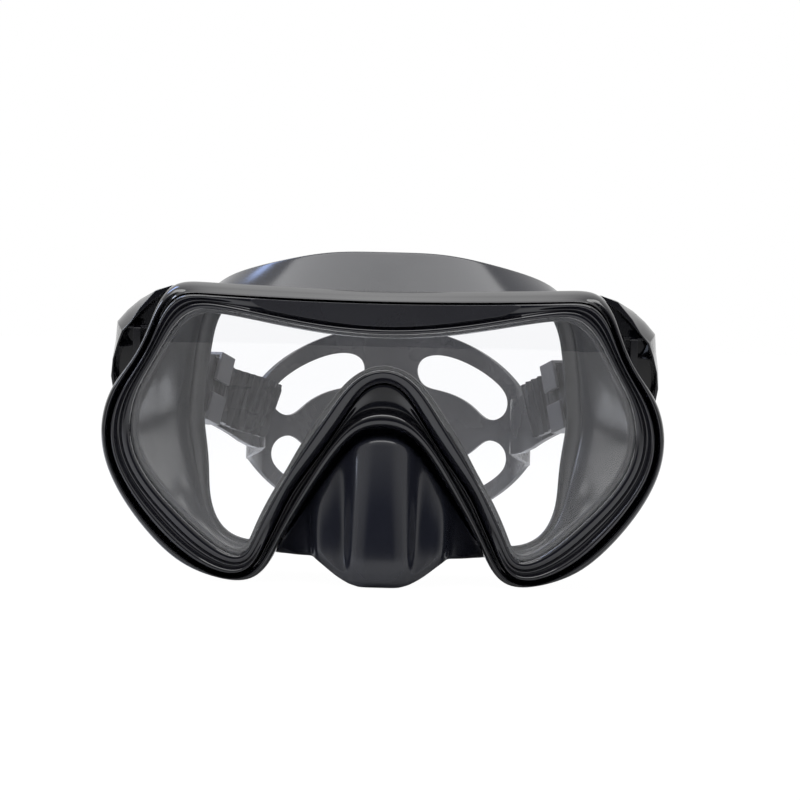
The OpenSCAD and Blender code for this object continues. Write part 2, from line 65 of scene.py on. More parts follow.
# Outlines of the front, as half loops of control points from the top middle round the side, the
# cheek lobe and up the nose arch to its top. All have the same number of points.
OUTER_EDGE: tuple[Pair, ...] = (
    (0, 90.1), (20, 90.6), (40, 91.2), (56, 91.7), (65.6, 92.3), (70.6, 85.2), (73, 76.7),
    (77.2, 67.7), (84.2, 59.2), (87.2, 48.7), (86.4, 37.6), (81.4, 26.3), (72.9, 14.8),
    (61.7, 4), (48, -2.4), (37.4, -0.6), (32.2, 8.6), (28, 17.4), (22.6, 26), (17, 34.8),
    (12.2, 41.6), (7, 46.8), (0, 48.2),
)
RIB_EDGE: tuple[Pair, ...] = (
    (0, 88.9), (20, 89.4), (40, 90), (55.5, 90.6), (64.6, 91.1), (69.4, 84.8), (72, 76.5),
    (76.1, 67.6), (82.6, 59), (85.7, 48.7), (85, 38), (80, 27.2), (71.7, 16.2),
    (60.9, 6), (47.8, -0.4), (38.3, 1.4), (33.6, 9.8), (29.8, 18), (25.2, 26.2), (20.2, 35),
    (14.8, 43.4), (8.2, 50.2), (0, 51.8),
)
BEZEL_EDGE: tuple[Pair, ...] = (
    (0, 86.7), (20, 86.9), (40, 87.4), (55, 88), (63.4, 88.4), (68.4, 82.9), (71, 75.3),
    (74.9, 66.7), (80.8, 58.5), (84.3, 48.6), (83.6, 37.9), (78.2, 27.3), (70, 16.4),
    (59.6, 6.6), (47.2, 0.9), (39.1, 2.9), (35.2, 11.4), (31.6, 19), (27.6, 28.4),
    (20.6, 37.4), (13, 48.8), (6.4, 60.4), (0, 62.4),
)
VALLEY_EDGE: tuple[Pair, ...] = (
    (0, 78), (20, 79.4), (39, 83), (51, 85.2), (60.2, 85.8), (66, 80.4), (69.6, 73),
    (73.4, 65.8), (77.8, 58.3), (80.8, 49.2), (80, 39), (74.6, 29), (65.8, 19.3),
    (56.2, 10.2), (46.4, 4.9), (40, 6), (36.9, 13.4), (32.8, 21.9), (28.6, 31),
    (22.2, 39.8), (15.4, 50.2), (8.2, 62), (0, 65.2),
)
PANE_EDGE: tuple[Pair, ...] = (
    (0, 76.4), (20, 77.8), (39, 81.4), (50.4, 83.4), (58.6, 83.8), (64.4, 78.9), (68.2, 71.6),
    (71.9, 65), (75.8, 58.1), (77.9, 49.6), (77.2, 39.9), (71.8, 30.2), (63.2, 21.2),
    (54, 12.6), (46, 7.6), (40.8, 8.4), (38.4, 15), (34, 24.4), (29.2, 33), (23.8, 42.2),
    (17.4, 51.6), (9.8, 63.4), (0, 67.4),
)
EDGES = (OUTER_EDGE, RIB_EDGE, BEZEL_EDGE, VALLEY_EDGE, PANE_EDGE)
HALF_COUNT = len(OUTER_EDGE)

# The line where the skirt meets the face: x, depth and height.
FACE_LINE: tuple[Triple, ...] = (
    (0, 30, 103.3), (18, 30.5, 103.5), (33, 33, 100.2), (45.5, 38, 97), (55.3, 44.5, 93),
    (62, 49, 84), (64.2, 51, 74), (65.6, 52, 64), (66.4, 52, 55), (66.8, 51.5, 47),
    (65.2, 49.5, 38.5), (62.8, 47, 29), (60.6, 44, 18.8), (55.4, 41, 9.4), (47, 38.5, 5.2),
    (38.5, 36, 5.4), (31.5, 34.5, 6.6), (26, 33.5, 7), (20.5, 32.8, 5.6), (15, 32.4, 2.6),
    (11, 32, 0.6), (6.5, 32, -0.4), (0, 32, -0.6),
)


class Zone(Enum):
    """A stretch of the outline where a rail lies at its second depth."""

    ARCH = "nose arch"
    RECESS = "recess at the arch's top"
    BROW = "brow"
    TOP = "top edge"
    CORNER = "lower corner of the flap"


def shares(own: dict[int, float], whole: range = range(0)) -> tuple[float, ...]:
    """Lists a share for each point of a half loop.

    Args:
        own: Shares of single points.
        whole: Points whose share is 1. All others have 0.

    Returns:
        The shares in the points' order.
    """
    return tuple(own.get(i, 1.0 if i in whole else 0.0) for i in range(HALF_COUNT))


ZONE_SHARES: dict[Zone, tuple[float, ...]] = {
    Zone.ARCH: shares({15: 0.2, 16: 0.75}, range(17, HALF_COUNT)),
    Zone.RECESS: shares({20: 0.2}, range(21, HALF_COUNT)),
    Zone.BROW: shares({3: 0.5}, range(3)),
    Zone.TOP: shares({4: 0.7, 5: 0.2}, range(4)),
    Zone.CORNER: shares({11: 0.3, 12: 0.8, 13: 1.0, 14: 0.8, 15: 0.4}),
}


def lerp(a: float, b: float, t: float) -> float:
    """Returns the value at share t of the way from a to b."""
    return a + (b - a) * t


def spot(x: float, y: float, z: float) -> Vector:
    """Returns a layout point in the frame's metres."""
    return Vector((x, y - MID_DEPTH, z)) * MM


def mirrored(half: Sequence[Vector]) -> list[Vector]:
    """Closes a half loop with its mirror image in x.

    Args:
        half: Points from the top middle to the bottom middle, both at x = 0.

    Returns:
        The whole loop, each middle point once.
    """
    other = [Vector((-p.x, p.y, p.z)) for p in half[-2:0:-1]]
    return [*half, *other]


def refined(loop: Sequence[Vector]) -> list[Vector]:
    """Doubles the control points of a closed smooth curve without changing the curve.

    Args:
        loop: Control points of the closed curve.

    Returns:
        Twice as many control points of the same curve.
    """
    count = len(loop)
    finer = []
    for i, p in enumerate(loop):
        finer.append((loop[i - 1] + p * 6 + loop[(i + 1) % count]) / 8)
        finer.append((p + loop[(i + 1) % count]) / 2)
    return finer


def fine(loop: Sequence[Vector]) -> list[Vector]:
    """Returns four times as many control points of the same closed curve."""
    return refined(refined(loop))


@dataclass(frozen=True)
class Rail:
    """A line round the front: its place between the outlines and its depth.

    Attributes:
        place: 0 at the outer edge, 1 rib, 2 bezel, 3 valley, 4 pane edge; beyond is carried on.
        depth: Depth in mm.
        elsewhere: Zones with a depth of their own.
    """

    place: float
    depth: float
    elsewhere: tuple[tuple[Zone, float], ...] = ()

    def half(self) -> list[Vector]:
        """Returns the rail's half loop in mm."""
        points = []
        for i in range(HALF_COUNT):
            x, z = between(i, self.place)
            depth = self.depth
            for zone, there in self.elsewhere:
                depth = lerp(depth, there, ZONE_SHARES[zone][i])
            points.append(Vector((x, depth, z)))
        return points

    def loop(self) -> list[Vector]:
        """Returns the rail's whole loop in the frame's metres, never below the floor."""
        return [on_floor(spot(*p)) for p in mirrored(self.half())]


def fine_rail(place: float, depth: float) -> list[Vector]:
    """Returns a rail of one depth as a loop of four times as many points, in mm."""
    return fine(mirrored(Rail(place, depth).half()))


def between(i: int, place: float) -> Pair:
    """Returns the point number i at a place between the outlines."""
    k = max(0, min(len(EDGES) - 2, math.floor(place)))
    (ax, az), (bx, bz) = EDGES[k][i], EDGES[k + 1][i]
    return lerp(ax, bx, place - k), lerp(az, bz, place - k)


def on_floor(p: Vector) -> Vector:
    """Returns the point, raised to the floor if it lies below."""
    return Vector((p.x, p.y, max(p.z, 0.0)))


# ---- Mesh making ---------------------------------------------------------------------------


def closed_line(bm: bmesh.types.BMesh, points: Sequence[Vector]) -> list[bmesh.types.BMEdge]:
    """Adds a closed line of edges through points and returns its edges."""
    verts = [bm.verts.new(p) for p in points]
    return [bm.edges.new(pair) for pair in zip(verts, verts[1:] + verts[:1])]


def loft(rails: Sequence[Sequence[Vector]], ring: bool = True) -> bmesh.types.BMesh:
    """Extrudes a closed loop of edges through rails of as many points.

    Args:
        rails: Loops of points in metres.
        ring: True to go back to the first rail, so that the section closes.

    Returns:
        The lofted surface, its normals outwards.
    """
    bm = bmesh.new()
    station = bm.verts.layers.int.new("station")
    edges = closed_line(bm, rails[0])
    for number, vert in enumerate(bm.verts):
        vert[station] = number
    for rail in [*rails[1:], rails[0]] if ring else rails[1:]:
        made = bmesh.ops.extrude_edge_only(bm, edges=edges)["geom"]
        for vert in (g for g in made if isinstance(g, bmesh.types.BMVert)):
            vert.co = rail[vert[station]]
        edges = [g for g in made if isinstance(g, bmesh.types.BMEdge) and g.is_boundary]
    bmesh.ops.remove_doubles(bm, verts=bm.verts, dist=1e-7)
    bmesh.ops.recalc_face_normals(bm, faces=bm.faces)
    return bm


def slab(outline: Sequence[Pair], plane: Callable[[float, float, float], Vector], low: float,
         high: float) -> bmesh.types.BMesh:
    """Fills a flat outline and extrudes it into a plate.

    Args:
        outline: Corners in the plate's plane, in mm.
        plane: Gives the frame's point of two plane coordinates and a height across it.
        low: First face's height.
        high: Second face's height.

    Returns:
        The plate.
    """
    bm = bmesh.new()
    bmesh.ops.edgeloop_fill(bm, edges=closed_line(bm, [plane(a, b, low) for a, b in outline]))
    made = bmesh.ops.extrude_face_region(bm, geom=bm.faces[:])["geom"]
    shift = plane(0, 0, high) - plane(0, 0, low)
    bmesh.ops.translate(bm, vec=shift, verts=[g for g in made if isinstance(g, bmesh.types.BMVert)])
    bmesh.ops.recalc_face_normals(bm, faces=bm.faces)
    return bm


def front_plane(x: float, z: float, y: float) -> Vector:
    """Returns a point of an outline that is seen from the front."""
    return spot(x, y, z)


def side_plane(y: float, z: float, x: float) -> Vector:
    """Returns a point of an outline that is seen from the right."""
    return spot(x, y, z)


def plan_plane(x: float, y: float, z: float) -> Vector:
    """Returns a point of an outline that is seen from above."""
    return spot(x, y, z)


def turned_solid(profile: Sequence[Pair], centre: Vector, axis: Vector,
                 steps: int = 48) -> bmesh.types.BMesh:
    """Spins a profile of radius and height about an axis.

    Args:
        profile: Radius and height pairs in mm, from axis to axis.
        centre: Where the height is 0, in metres.
        axis: Unit vector along the height.
        steps: Sides of the round.

    Returns:
        The closed round solid.
    """
    bm = bmesh.new()
    out = axis.orthogonal().normalized()
    verts = [bm.verts.new(centre + out * (r * MM) + axis * (h * MM)) for r, h in profile]
    edges = [bm.edges.new(pair) for pair in zip(verts, verts[1:])]
    bmesh.ops.spin(bm, geom=[*verts, *edges], cent=centre, axis=axis, angle=math.tau, steps=steps,
                   use_merge=True)
    bmesh.ops.remove_doubles(bm, verts=bm.verts, dist=1e-7)
    bmesh.ops.recalc_face_normals(bm, faces=bm.faces)
    return bm


def joined(parts: Sequence[bmesh.types.BMesh]) -> bmesh.types.BMesh:
    """Puts several meshes into the first one and frees the others."""
    whole = parts[0]
    for part in parts[1:]:
        spare = bpy.data.meshes.new("spare")
        part.to_mesh(spare)
        part.free()
        whole.from_mesh(spare)
        bpy.data.meshes.remove(spare)
    return whole


def flipped(bm: bmesh.types.BMesh) -> bmesh.types.BMesh:
    """Turns a right-hand mesh into its left-hand mirror image."""
    bmesh.ops.scale(bm, vec=(-1, 1, 1), verts=bm.verts)
    bmesh.ops.reverse_faces(bm, faces=bm.faces)
    return bm


@dataclass
class Piece:
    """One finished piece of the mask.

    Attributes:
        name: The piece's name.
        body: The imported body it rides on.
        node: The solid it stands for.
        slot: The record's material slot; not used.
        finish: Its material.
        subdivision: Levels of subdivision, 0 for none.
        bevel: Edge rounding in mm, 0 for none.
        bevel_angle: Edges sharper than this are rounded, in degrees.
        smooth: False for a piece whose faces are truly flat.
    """

    name: str
    body: str
    node: str
    slot: str
    finish: bpy.types.Material
    subdivision: int = 0
    bevel: float = 0.0
    bevel_angle: float = 35.0
    smooth: bool = True

    def build(self, bm: bmesh.types.BMesh) -> bpy.types.Object:
        """Makes the object from a mesh, which is freed.

        Args:
            bm: The piece's mesh in the frame's metres.

        Returns:
            The object, riding on its body.
        """
        mesh = bpy.data.meshes.new(self.name)
        bm.to_mesh(mesh)
        bm.free()
        mesh.polygons.foreach_set("use_smooth", [self.smooth] * len(mesh.polygons))
        mesh.materials.append(self.finish)
        piece = bpy.data.objects.new(self.name, mesh)
        bpy.context.collection.objects.link(piece)
        if self.bevel:
            bevel = piece.modifiers.new("rounded_edges", "BEVEL")
            bevel.width = self.bevel * MM
            bevel.segments = 3
            bevel.limit_method = "ANGLE"
            bevel.angle_limit = math.radians(self.bevel_angle)
            bevel.harden_normals = True
        if self.subdivision:
            smooth = piece.modifiers.new("smooth_surface", "SUBSURF")
            smooth.levels = smooth.render_levels = self.subdivision
        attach(piece, self.body)
        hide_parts(self.node)
        LOG.info("%s: %d faces", self.name, len(mesh.polygons))
        return piece


# ---- Finishes ------------------------------------------------------------------------------


class NodeSheet:
    """Adds nodes to one tree and joins them."""

    def __init__(self, tree: bpy.types.NodeTree) -> None:
        """Keeps the tree that the nodes go into."""
        self.tree = tree

    def add(self, kind: str, values: dict[str, object] | None = None,
            **settings: object) -> bpy.types.Node:
        """Adds a node.

        Args:
            kind: The node's type name.
            values: Values of its input sockets by name.
            **settings: The node's own settings.

        Returns:
            The node.
        """
        node = self.tree.nodes.new(kind)
        for key, value in settings.items():
            setattr(node, key, value)
        for key, value in (values or {}).items():
            node.inputs[key].default_value = value
        return node

    def join(self, source: bpy.types.NodeSocket, target: bpy.types.NodeSocket) -> None:
        """Joins an output to an input."""
        self.tree.links.new(source, target)

    def ramp(self, source: bpy.types.NodeSocket, low: float, high: float, to_low: float,
             to_high: float) -> bpy.types.NodeSocket:
        """Maps a value from one range to another, held at its ends.

        Args:
            source: The value.
            low: Start of its range.
            high: End of its range.
            to_low: What the start becomes.
            to_high: What the end becomes.

        Returns:
            The mapped value.
        """
        node = self.add("ShaderNodeMapRange", {"From Min": low, "From Max": high, "To Min": to_low,
                                               "To Max": to_high})
        self.join(source, node.inputs["Value"])
        return node.outputs["Result"]

    def directly_seen(self) -> bpy.types.NodeSocket:
        """Returns 1 for rays that come from the camera or through glass, else 0."""
        path = self.add("ShaderNodeLightPath")
        seen = self.add("ShaderNodeMath", operation="MAXIMUM")
        self.join(path.outputs["Is Camera Ray"], seen.inputs[0])
        self.join(path.outputs["Is Transmission Ray"], seen.inputs[1])
        return seen.outputs[0]

    def end_in_mix(self, share: bpy.types.NodeSocket, first: bpy.types.Node, second: bpy.types.Node,
                   output: str) -> None:
        """Mixes two shaders and joins the mix to the tree's output.

        Args:
            share: The second shader's share.
            first: The first shader.
            second: The second shader.
            output: Name of the output node.
        """
        pick = self.add("ShaderNodeMixShader")
        self.join(share, pick.inputs["Fac"])
        self.join(first.outputs[0], pick.inputs[1])
        self.join(second.outputs[0], pick.inputs[2])
        self.join(pick.outputs[0], self.tree.nodes[output].inputs["Surface"])


def fresh_material(name: str, **values: object) -> tuple[bpy.types.Material, NodeSheet, bpy.types.Node]:
    """Makes a material with its node sheet and shader.

    Args:
        name: The material's name.
        **values: Values of the shader's sockets, with low lines for the spaces in their names.

    Returns:
        The material, its sheet and its Principled shader.
    """
    material = bpy.data.materials.new(name)
    material.use_nodes = True
    shader = material.node_tree.nodes["Principled BSDF"]
    for key, value in values.items():
        shader.inputs[key.replace("_", " ")].default_value = value
    return material, NodeSheet(material.node_tree), shader


class SharedGroups:
    """The node groups that more than one finish uses, each built once."""

    def __init__(self) -> None:
        """Builds the groups."""
        self.moulding = self._moulding()
        self.handling = self._handling()

    @staticmethod
    def _group(name: str, inputs: dict[str, float],
               outputs: Sequence[str]) -> tuple[NodeSheet, bpy.types.Node, bpy.types.Node]:
        """Makes an empty group with named value sockets.

        Args:
            name: The group's name.
            inputs: Its inputs and their plain values.
            outputs: Its outputs.

        Returns:
            Its sheet, its input node and its output node.
        """
        tree = bpy.data.node_groups.new(name, "ShaderNodeTree")
        for key, value in inputs.items():
            socket = tree.interface.new_socket(key, in_out="INPUT", socket_type="NodeSocketFloat")
            socket.default_value = value
        for key in outputs:
            tree.interface.new_socket(key, in_out="OUTPUT", socket_type="NodeSocketFloat")
        sheet = NodeSheet(tree)
        return sheet, sheet.add("NodeGroupInput"), sheet.add("NodeGroupOutput")

    def _moulding(self) -> bpy.types.NodeTree:
        """Slow waviness and fine grain of a moulded surface, as heights from 0 to 1."""
        sheet, into, out = self._group("moulding", {"Wave Scale": 60.0, "Grain Scale": 2500.0},
                                       ("Wave", "Grain"))
        place = sheet.add("ShaderNodeTexCoord")
        for key, name, detail in (("Wave Scale", "Wave", 2.0), ("Grain Scale", "Grain", 3.0)):
            noise = sheet.add("ShaderNodeTexNoise", {"Detail": detail, "Roughness": 0.55})
            sheet.join(place.outputs["Object"], noise.inputs["Vector"])
            sheet.join(into.outputs[key], noise.inputs["Scale"])
            sheet.join(noise.outputs["Fac"], out.inputs[name])
        return sheet.tree

    def _handling(self) -> bpy.types.NodeTree:
        """Masks of the fine dust that settles on top and of faint rubbed patches."""
        sheet, into, out = self._group("handling", {"Dust Scale": 900.0, "Rub Scale": 45.0},
                                       ("Dust", "Rub"))
        place = sheet.add("ShaderNodeTexCoord")
        specks = sheet.add("ShaderNodeTexVoronoi", {"Randomness": 1.0})
        sheet.join(place.outputs["Object"], specks.inputs["Vector"])
        sheet.join(into.outputs["Dust Scale"], specks.inputs["Scale"])
        dots = sheet.ramp(specks.outputs["Distance"], 0.05, 0.16, 1.0, 0.0)
        facing = sheet.add("ShaderNodeSeparateXYZ")
        sheet.join(sheet.add("ShaderNodeNewGeometry").outputs["Normal"], facing.inputs[0])
        upward = sheet.ramp(facing.outputs["Z"], 0.2, 0.95, 0.15, 1.0)
        dust = sheet.add("ShaderNodeMath", operation="MULTIPLY")
        sheet.join(dots, dust.inputs[0])
        sheet.join(upward, dust.inputs[1])
        sheet.join(dust.outputs[0], out.inputs["Dust"])
        rub = sheet.add("ShaderNodeTexNoise", {"Detail": 4.0, "Roughness": 0.6, "Distortion": 0.4})
        sheet.join(place.outputs["Object"], rub.inputs["Vector"])
        sheet.join(into.outputs["Rub Scale"], rub.inputs["Scale"])
        sheet.join(sheet.ramp(rub.outputs["Fac"], 0.42, 0.68, 0.0, 1.0), out.inputs["Rub"])
        return sheet.tree


@dataclass(frozen=True)
class MouldedFinish:
    """A moulded plastic, rubber or metal surface.

    Attributes:
        name: The material's name.
        colour: Base colour.
        dust_colour: Colour of settled dust.
        roughness: Roughness of clean places.
        rub_roughness: Roughness of rubbed places.
        wave: Height of the slow waviness in mm.
        grain: Height of the fine grain in mm.
        dust: How much dust shows.
        wave_scale: Waves per metre.
        grain_scale: Grains per metre.
        metallic: 1 for metal.
        coat: Weight of a clear coat.
        subsurface: Weight of light spreading inside.
    """

    name: str
    colour: Colour
    dust_colour: Colour = (0.35, 0.35, 0.36)
    roughness: float = 0.15
    rub_roughness: float = 0.22
    wave: float = 0.01
    grain: float = 0.002
    dust: float = 0.05
    wave_scale: float = 60.0
    grain_scale: float = 2500.0
    metallic: float = 0.0
    coat: float = 0.0
    subsurface: float = 0.0

    def build(self, groups: SharedGroups) -> bpy.types.Material:
        """Makes the material from the shared groups.

        Args:
            groups: The node groups.

        Returns:
            The material.
        """
        material, sheet, shader = fresh_material(
            self.name, Metallic=self.metallic, Coat_Weight=self.coat, Coat_Roughness=0.05,
            Subsurface_Weight=self.subsurface, Subsurface_Radius=(0.002, 0.002, 0.002))
        moulding = sheet.add("ShaderNodeGroup", node_tree=groups.moulding)
        moulding.inputs["Wave Scale"].default_value = self.wave_scale
        moulding.inputs["Grain Scale"].default_value = self.grain_scale
        handling = sheet.add("ShaderNodeGroup", node_tree=groups.handling)
        tint = sheet.add("ShaderNodeMix", data_type="RGBA")
        tint.inputs["A"].default_value = (*self.colour, 1)
        tint.inputs["B"].default_value = (*self.dust_colour, 1)
        sheet.join(sheet.ramp(handling.outputs["Dust"], 0, 1, 0, self.dust), tint.inputs["Factor"])
        sheet.join(tint.outputs["Result"], shader.inputs["Base Color"])
        sheet.join(sheet.ramp(handling.outputs["Rub"], 0, 1, self.roughness, self.rub_roughness),
                   shader.inputs["Roughness"])
        normal = None
        for key, height in (("Wave", self.wave), ("Grain", self.grain)):
            bump = sheet.add("ShaderNodeBump", {"Strength": 1.0, "Distance": height * MM})
            sheet.join(moulding.outputs[key], bump.inputs["Height"])
            if normal is not None:
                sheet.join(normal, bump.inputs["Normal"])
            normal = bump.outputs["Normal"]
        sheet.join(normal, shader.inputs["Normal"])
        return material


@dataclass(frozen=True)
class PaneFinish:
    """Clear tempered glass.

    Attributes:
        name: The material's name.
        colour: Tint of the light that passes.
        roughness: Roughness of the polished faces.
        smear: How much faint smears roughen it.
        bending: Its index of refraction.
    """

    name: str = "tempered_glass"
    colour: Colour = (0.965, 0.97, 0.985)
    roughness: float = 0.0
    smear: float = 0.004
    bending: float = 1.5

    def build(self, groups: SharedGroups) -> bpy.types.Material:
        """Makes the glass.

        Args:
            groups: The node groups.

        Returns:
            The material.
        """
        material, sheet, shader = fresh_material(self.name, Transmission_Weight=1.0, IOR=self.bending,
                                                 Base_Color=(*self.colour, 1))
        handling = sheet.add("ShaderNodeGroup", node_tree=groups.handling)
        sheet.join(sheet.ramp(handling.outputs["Rub"], 0, 1, self.roughness, self.smear),
                   shader.inputs["Roughness"])
        return material


@dataclass
class Finishes:
    """Every finish of the mask, built once.

    Attributes:
        groups: The shared node groups.
    """

    groups: SharedGroups = field(default_factory=SharedGroups)

    def __post_init__(self) -> None:
        """Builds the materials."""
        def moulded(name: str, colour: Colour, **settings: float) -> bpy.types.Material:
            """Makes one moulded finish."""
            return MouldedFinish(name, colour, **settings).build(self.groups)

        self.gloss = moulded("gloss_black", (0.006, 0.006, 0.008), roughness=0.09, rub_roughness=0.13,
                             wave=0.012, grain=0.0004, dust=0.04, coat=0.3)
        self.bezel = moulded("gloss_black_bezel", (0.006, 0.006, 0.009), roughness=0.08,
                             rub_roughness=0.12, wave=0.01, grain=0.0004, dust=0.03, coat=0.3)
        self.satin = moulded("satin_inlay", (0.012, 0.012, 0.016), roughness=0.24, rub_roughness=0.3,
                             wave=0.006, grain=0.002, grain_scale=1800.0, dust=0.05)
        self.skirt = moulded("black_silicone", (0.012, 0.013, 0.019), roughness=0.17,
                             rub_roughness=0.24, wave=0.06, wave_scale=30.0, grain=0.0004, dust=0.015)
        self.strap = moulded("strap_silicone", (0.022, 0.022, 0.027), roughness=0.24,
                             rub_roughness=0.32, wave=0.03, wave_scale=45.0, grain=0.0008, dust=0.02,
                             subsurface=0.1)
        self.keeper = moulded("keeper_plastic", (0.07, 0.07, 0.078), roughness=0.28,
                              rub_roughness=0.36, grain=0.001, dust=0.03)
        self.steel = moulded("brushed_steel", (0.58, 0.59, 0.61), roughness=0.24, rub_roughness=0.34,
                             wave=0.004, grain=0.001, dust=0.03, metallic=1.0)
        self.pane = PaneFinish().build(self.groups)


# ---- Front ---------------------------------------------------------------------------------


@dataclass
class Front:
    """The moulded frame, the bezel, the pane and the brow inlays.

    Attributes:
        ledge: Depth of the ledge behind the pane.
        back: Depth of the frame's back.
        pane_front: Depth of the pane's front face.
        pane_back: Depth of the pane's back face.
        pane_place: Place of the pane's edge between the outlines.
        pane_chamfer: Ground chamfer of the pane's edge.
        inlay_front: Depth of the brow inlay's front face.
        inlay_back: Depth of the brow inlay's back face.
    """

    ledge: float = 6.6
    back: float = 11.0
    pane_front: float = 0.35
    pane_back: float = 3.85
    pane_place: float = 2.9
    pane_chamfer: float = 0.35
    inlay_front: float = -1.65
    inlay_back: float = -0.6

    def frame_rails(self) -> list[Rail]:
        """Returns the frame's section as rails, from the outer wall over the front to the back."""
        section = (
            # place, depth at the side, along the top, on the nose arch, in the recess at its top
            (0, 10, 10.95, 10, 10), (0, 6.5, 10.9, 6.5, 6.5), (0.02, 3.4, 10.8, 4.4, 4.4),
            (0.1, 0.9, 10.5, 2, 2), (0.28, -0.7, 9.7, 0.2, 0.2), (0.55, -1.5, 8.6, -0.7, -0.7),
            (0.85, -1.75, 7.4, -0.9, -0.9), (1.1, -1.65, 6, -0.6, -0.4), (1.28, -1.25, 4.7, 0.3, 2.4),
            (1.42, -0.5, 3.6, 1.6, 2.6), (1.55, 0.6, 2.6, 1.7, 2.6), (1.66, 1.7, 1.7, 0.6, 2.6),
            (1.78, 2.1, 0.8, -0.3, 2.6), (1.88, 2.2, 0.2, -0.3, 2.6), (1.96, 2.3, 0.3, 0.6, 2.6),
            (1.99, 2.8, 2.4, 2.4, 2.9),
        )
        return [
            *(Rail(place, side, ((Zone.TOP, top), (Zone.ARCH, arch), (Zone.RECESS, recess)))
              for place, side, top, arch, recess in section),
            Rail(1.99, self.ledge - 0.2), Rail(2.05, self.ledge), Rail(3.25, self.ledge),
            Rail(3.3, self.ledge + 0.1), Rail(3.3, self.back - 0.5), Rail(3.2, self.back),
            Rail(0.25, self.back), Rail(0.05, self.back),
        ]

    def bezel_rails(self) -> list[Rail]:
        """Returns the bezel's section as rails, from its outer foot over the front to the back."""
        section = (
            # place, depth at the side, at the brow, on the nose arch
            (2.06, 2.6, 2.6, 3), (2.06, 0.9, 0.9, 2.4), (2.08, -0.8, -0.1, 1.7), (2.14, -2, -0.35, 1.1),
            (2.27, -2.5, -0.35, 0.4), (2.42, -2.3, -0.35, -0.2), (2.54, -1.5, -0.35, -0.6),
            (2.66, -0.75, -0.35, -0.95), (2.82, -0.6, -0.4, -1.3), (2.94, -0.85, -0.6, -1.5),
            (3.06, -1.5, -1.5, -1.65), (3.25, -1.85, -1.85, -1.85), (3.55, -1.98, -1.98, -1.98),
            (3.82, -1.75, -1.75, -1.75), (3.97, -1.1, -1.1, -1.1), (4.02, -0.2, -0.2, -0.2),
        )
        return [
            *(Rail(place, side, ((Zone.BROW, brow), (Zone.ARCH, arch)))
              for place, side, brow, arch in section),
            Rail(4.02, 0.25), Rail(3.98, 0.3), Rail(2.86, 0.3), Rail(2.84, 0.4), Rail(2.82, 3.7),
            Rail(2.8, 3.8), Rail(2.1, 3.8), Rail(2.06, 3.7),
        ]

    def pane_mesh(self) -> bmesh.types.BMesh:
        """Builds the pane as a plate with a ground chamfer round both faces."""
        face = self.pane_place + 0.12
        c = self.pane_chamfer
        rails = [Rail(face, self.pane_front), Rail(self.pane_place, self.pane_front + c),
                 Rail(self.pane_place, self.pane_back - c), Rail(face, self.pane_back)]
        bm = loft([fine(rail.loop()) for rail in rails], ring=False)
        rims = [e for e in bm.edges if e.is_boundary]
        for depth in (self.pane_front, self.pane_back):
            y = (depth - MID_DEPTH) * MM
            rim = [e for e in rims if all(abs(v.co.y - y) < 1e-6 for v in e.verts)]
            bmesh.ops.edgeloop_fill(bm, edges=rim)
        bmesh.ops.recalc_face_normals(bm, faces=bm.faces)
        return bm

    def brow_mesh(self) -> bmesh.types.BMesh:
        """Builds the satin crescents that lie in the bezel's brow."""
        lower = [(-43, 87), (-38, 83.8), (-31, 82.6), (-20, 80.8), (-10, 79.6), (0, 79.2)]
        upper = [(0, 86.2), (-10, 86.25), (-20, 86.4), (-30, 86.6), (-38, 86.9)]
        other_side = [(-x, z) for x, z in (*lower[-2::-1], *upper[:0:-1])]
        whole = [*lower, *other_side, *upper]
        return slab(smooth_outline(whole, 5), front_plane, self.inlay_front, self.inlay_back)

    def build(self, finishes: Finishes) -> None:
        """Builds the four pieces of the front."""
        for name, node, slot, finish, rails in (
                ("frame_shell", "frame", "gloss_black", finishes.gloss, self.frame_rails()),
                ("bezel_ring", "bezel", "gloss_black_bezel", finishes.bezel, self.bezel_rails())):
            Piece(name, "mask", node, slot, finish, subdivision=3).build(
                loft([rail.loop() for rail in rails]))
        Piece("window_pane", "mask", "lens", "pane", finishes.pane, smooth=False).build(self.pane_mesh())
        Piece("brow_inlay", "mask", "brow_panel", "satin_trim", finishes.satin, bevel=0.45).build(
            self.brow_mesh())


def smooth_outline(points: Sequence[Pair], steps: int) -> list[Pair]:
    """Returns the closed smooth curve that a closed outline's points control.

    Args:
        points: Control points.
        steps: Points of the curve for each control point.

    Returns:
        Points of the curve.
    """
    count = len(points)
    curve = []
    for i in range(count):
        a, b, c, d = (Vector((*points[(i + k - 1) % count], 0)) for k in range(4))
        for step in range(steps):
            t = step / steps
            p = (a * (1 - t) ** 3 + b * (3 * t**3 - 6 * t * t + 4)
                 + c * (-3 * t**3 + 3 * t * t + 3 * t + 1) + d * t**3) / 6
            curve.append((p.x, p.y))
    return curve


# ---- Skirt ---------------------------------------------------------------------------------


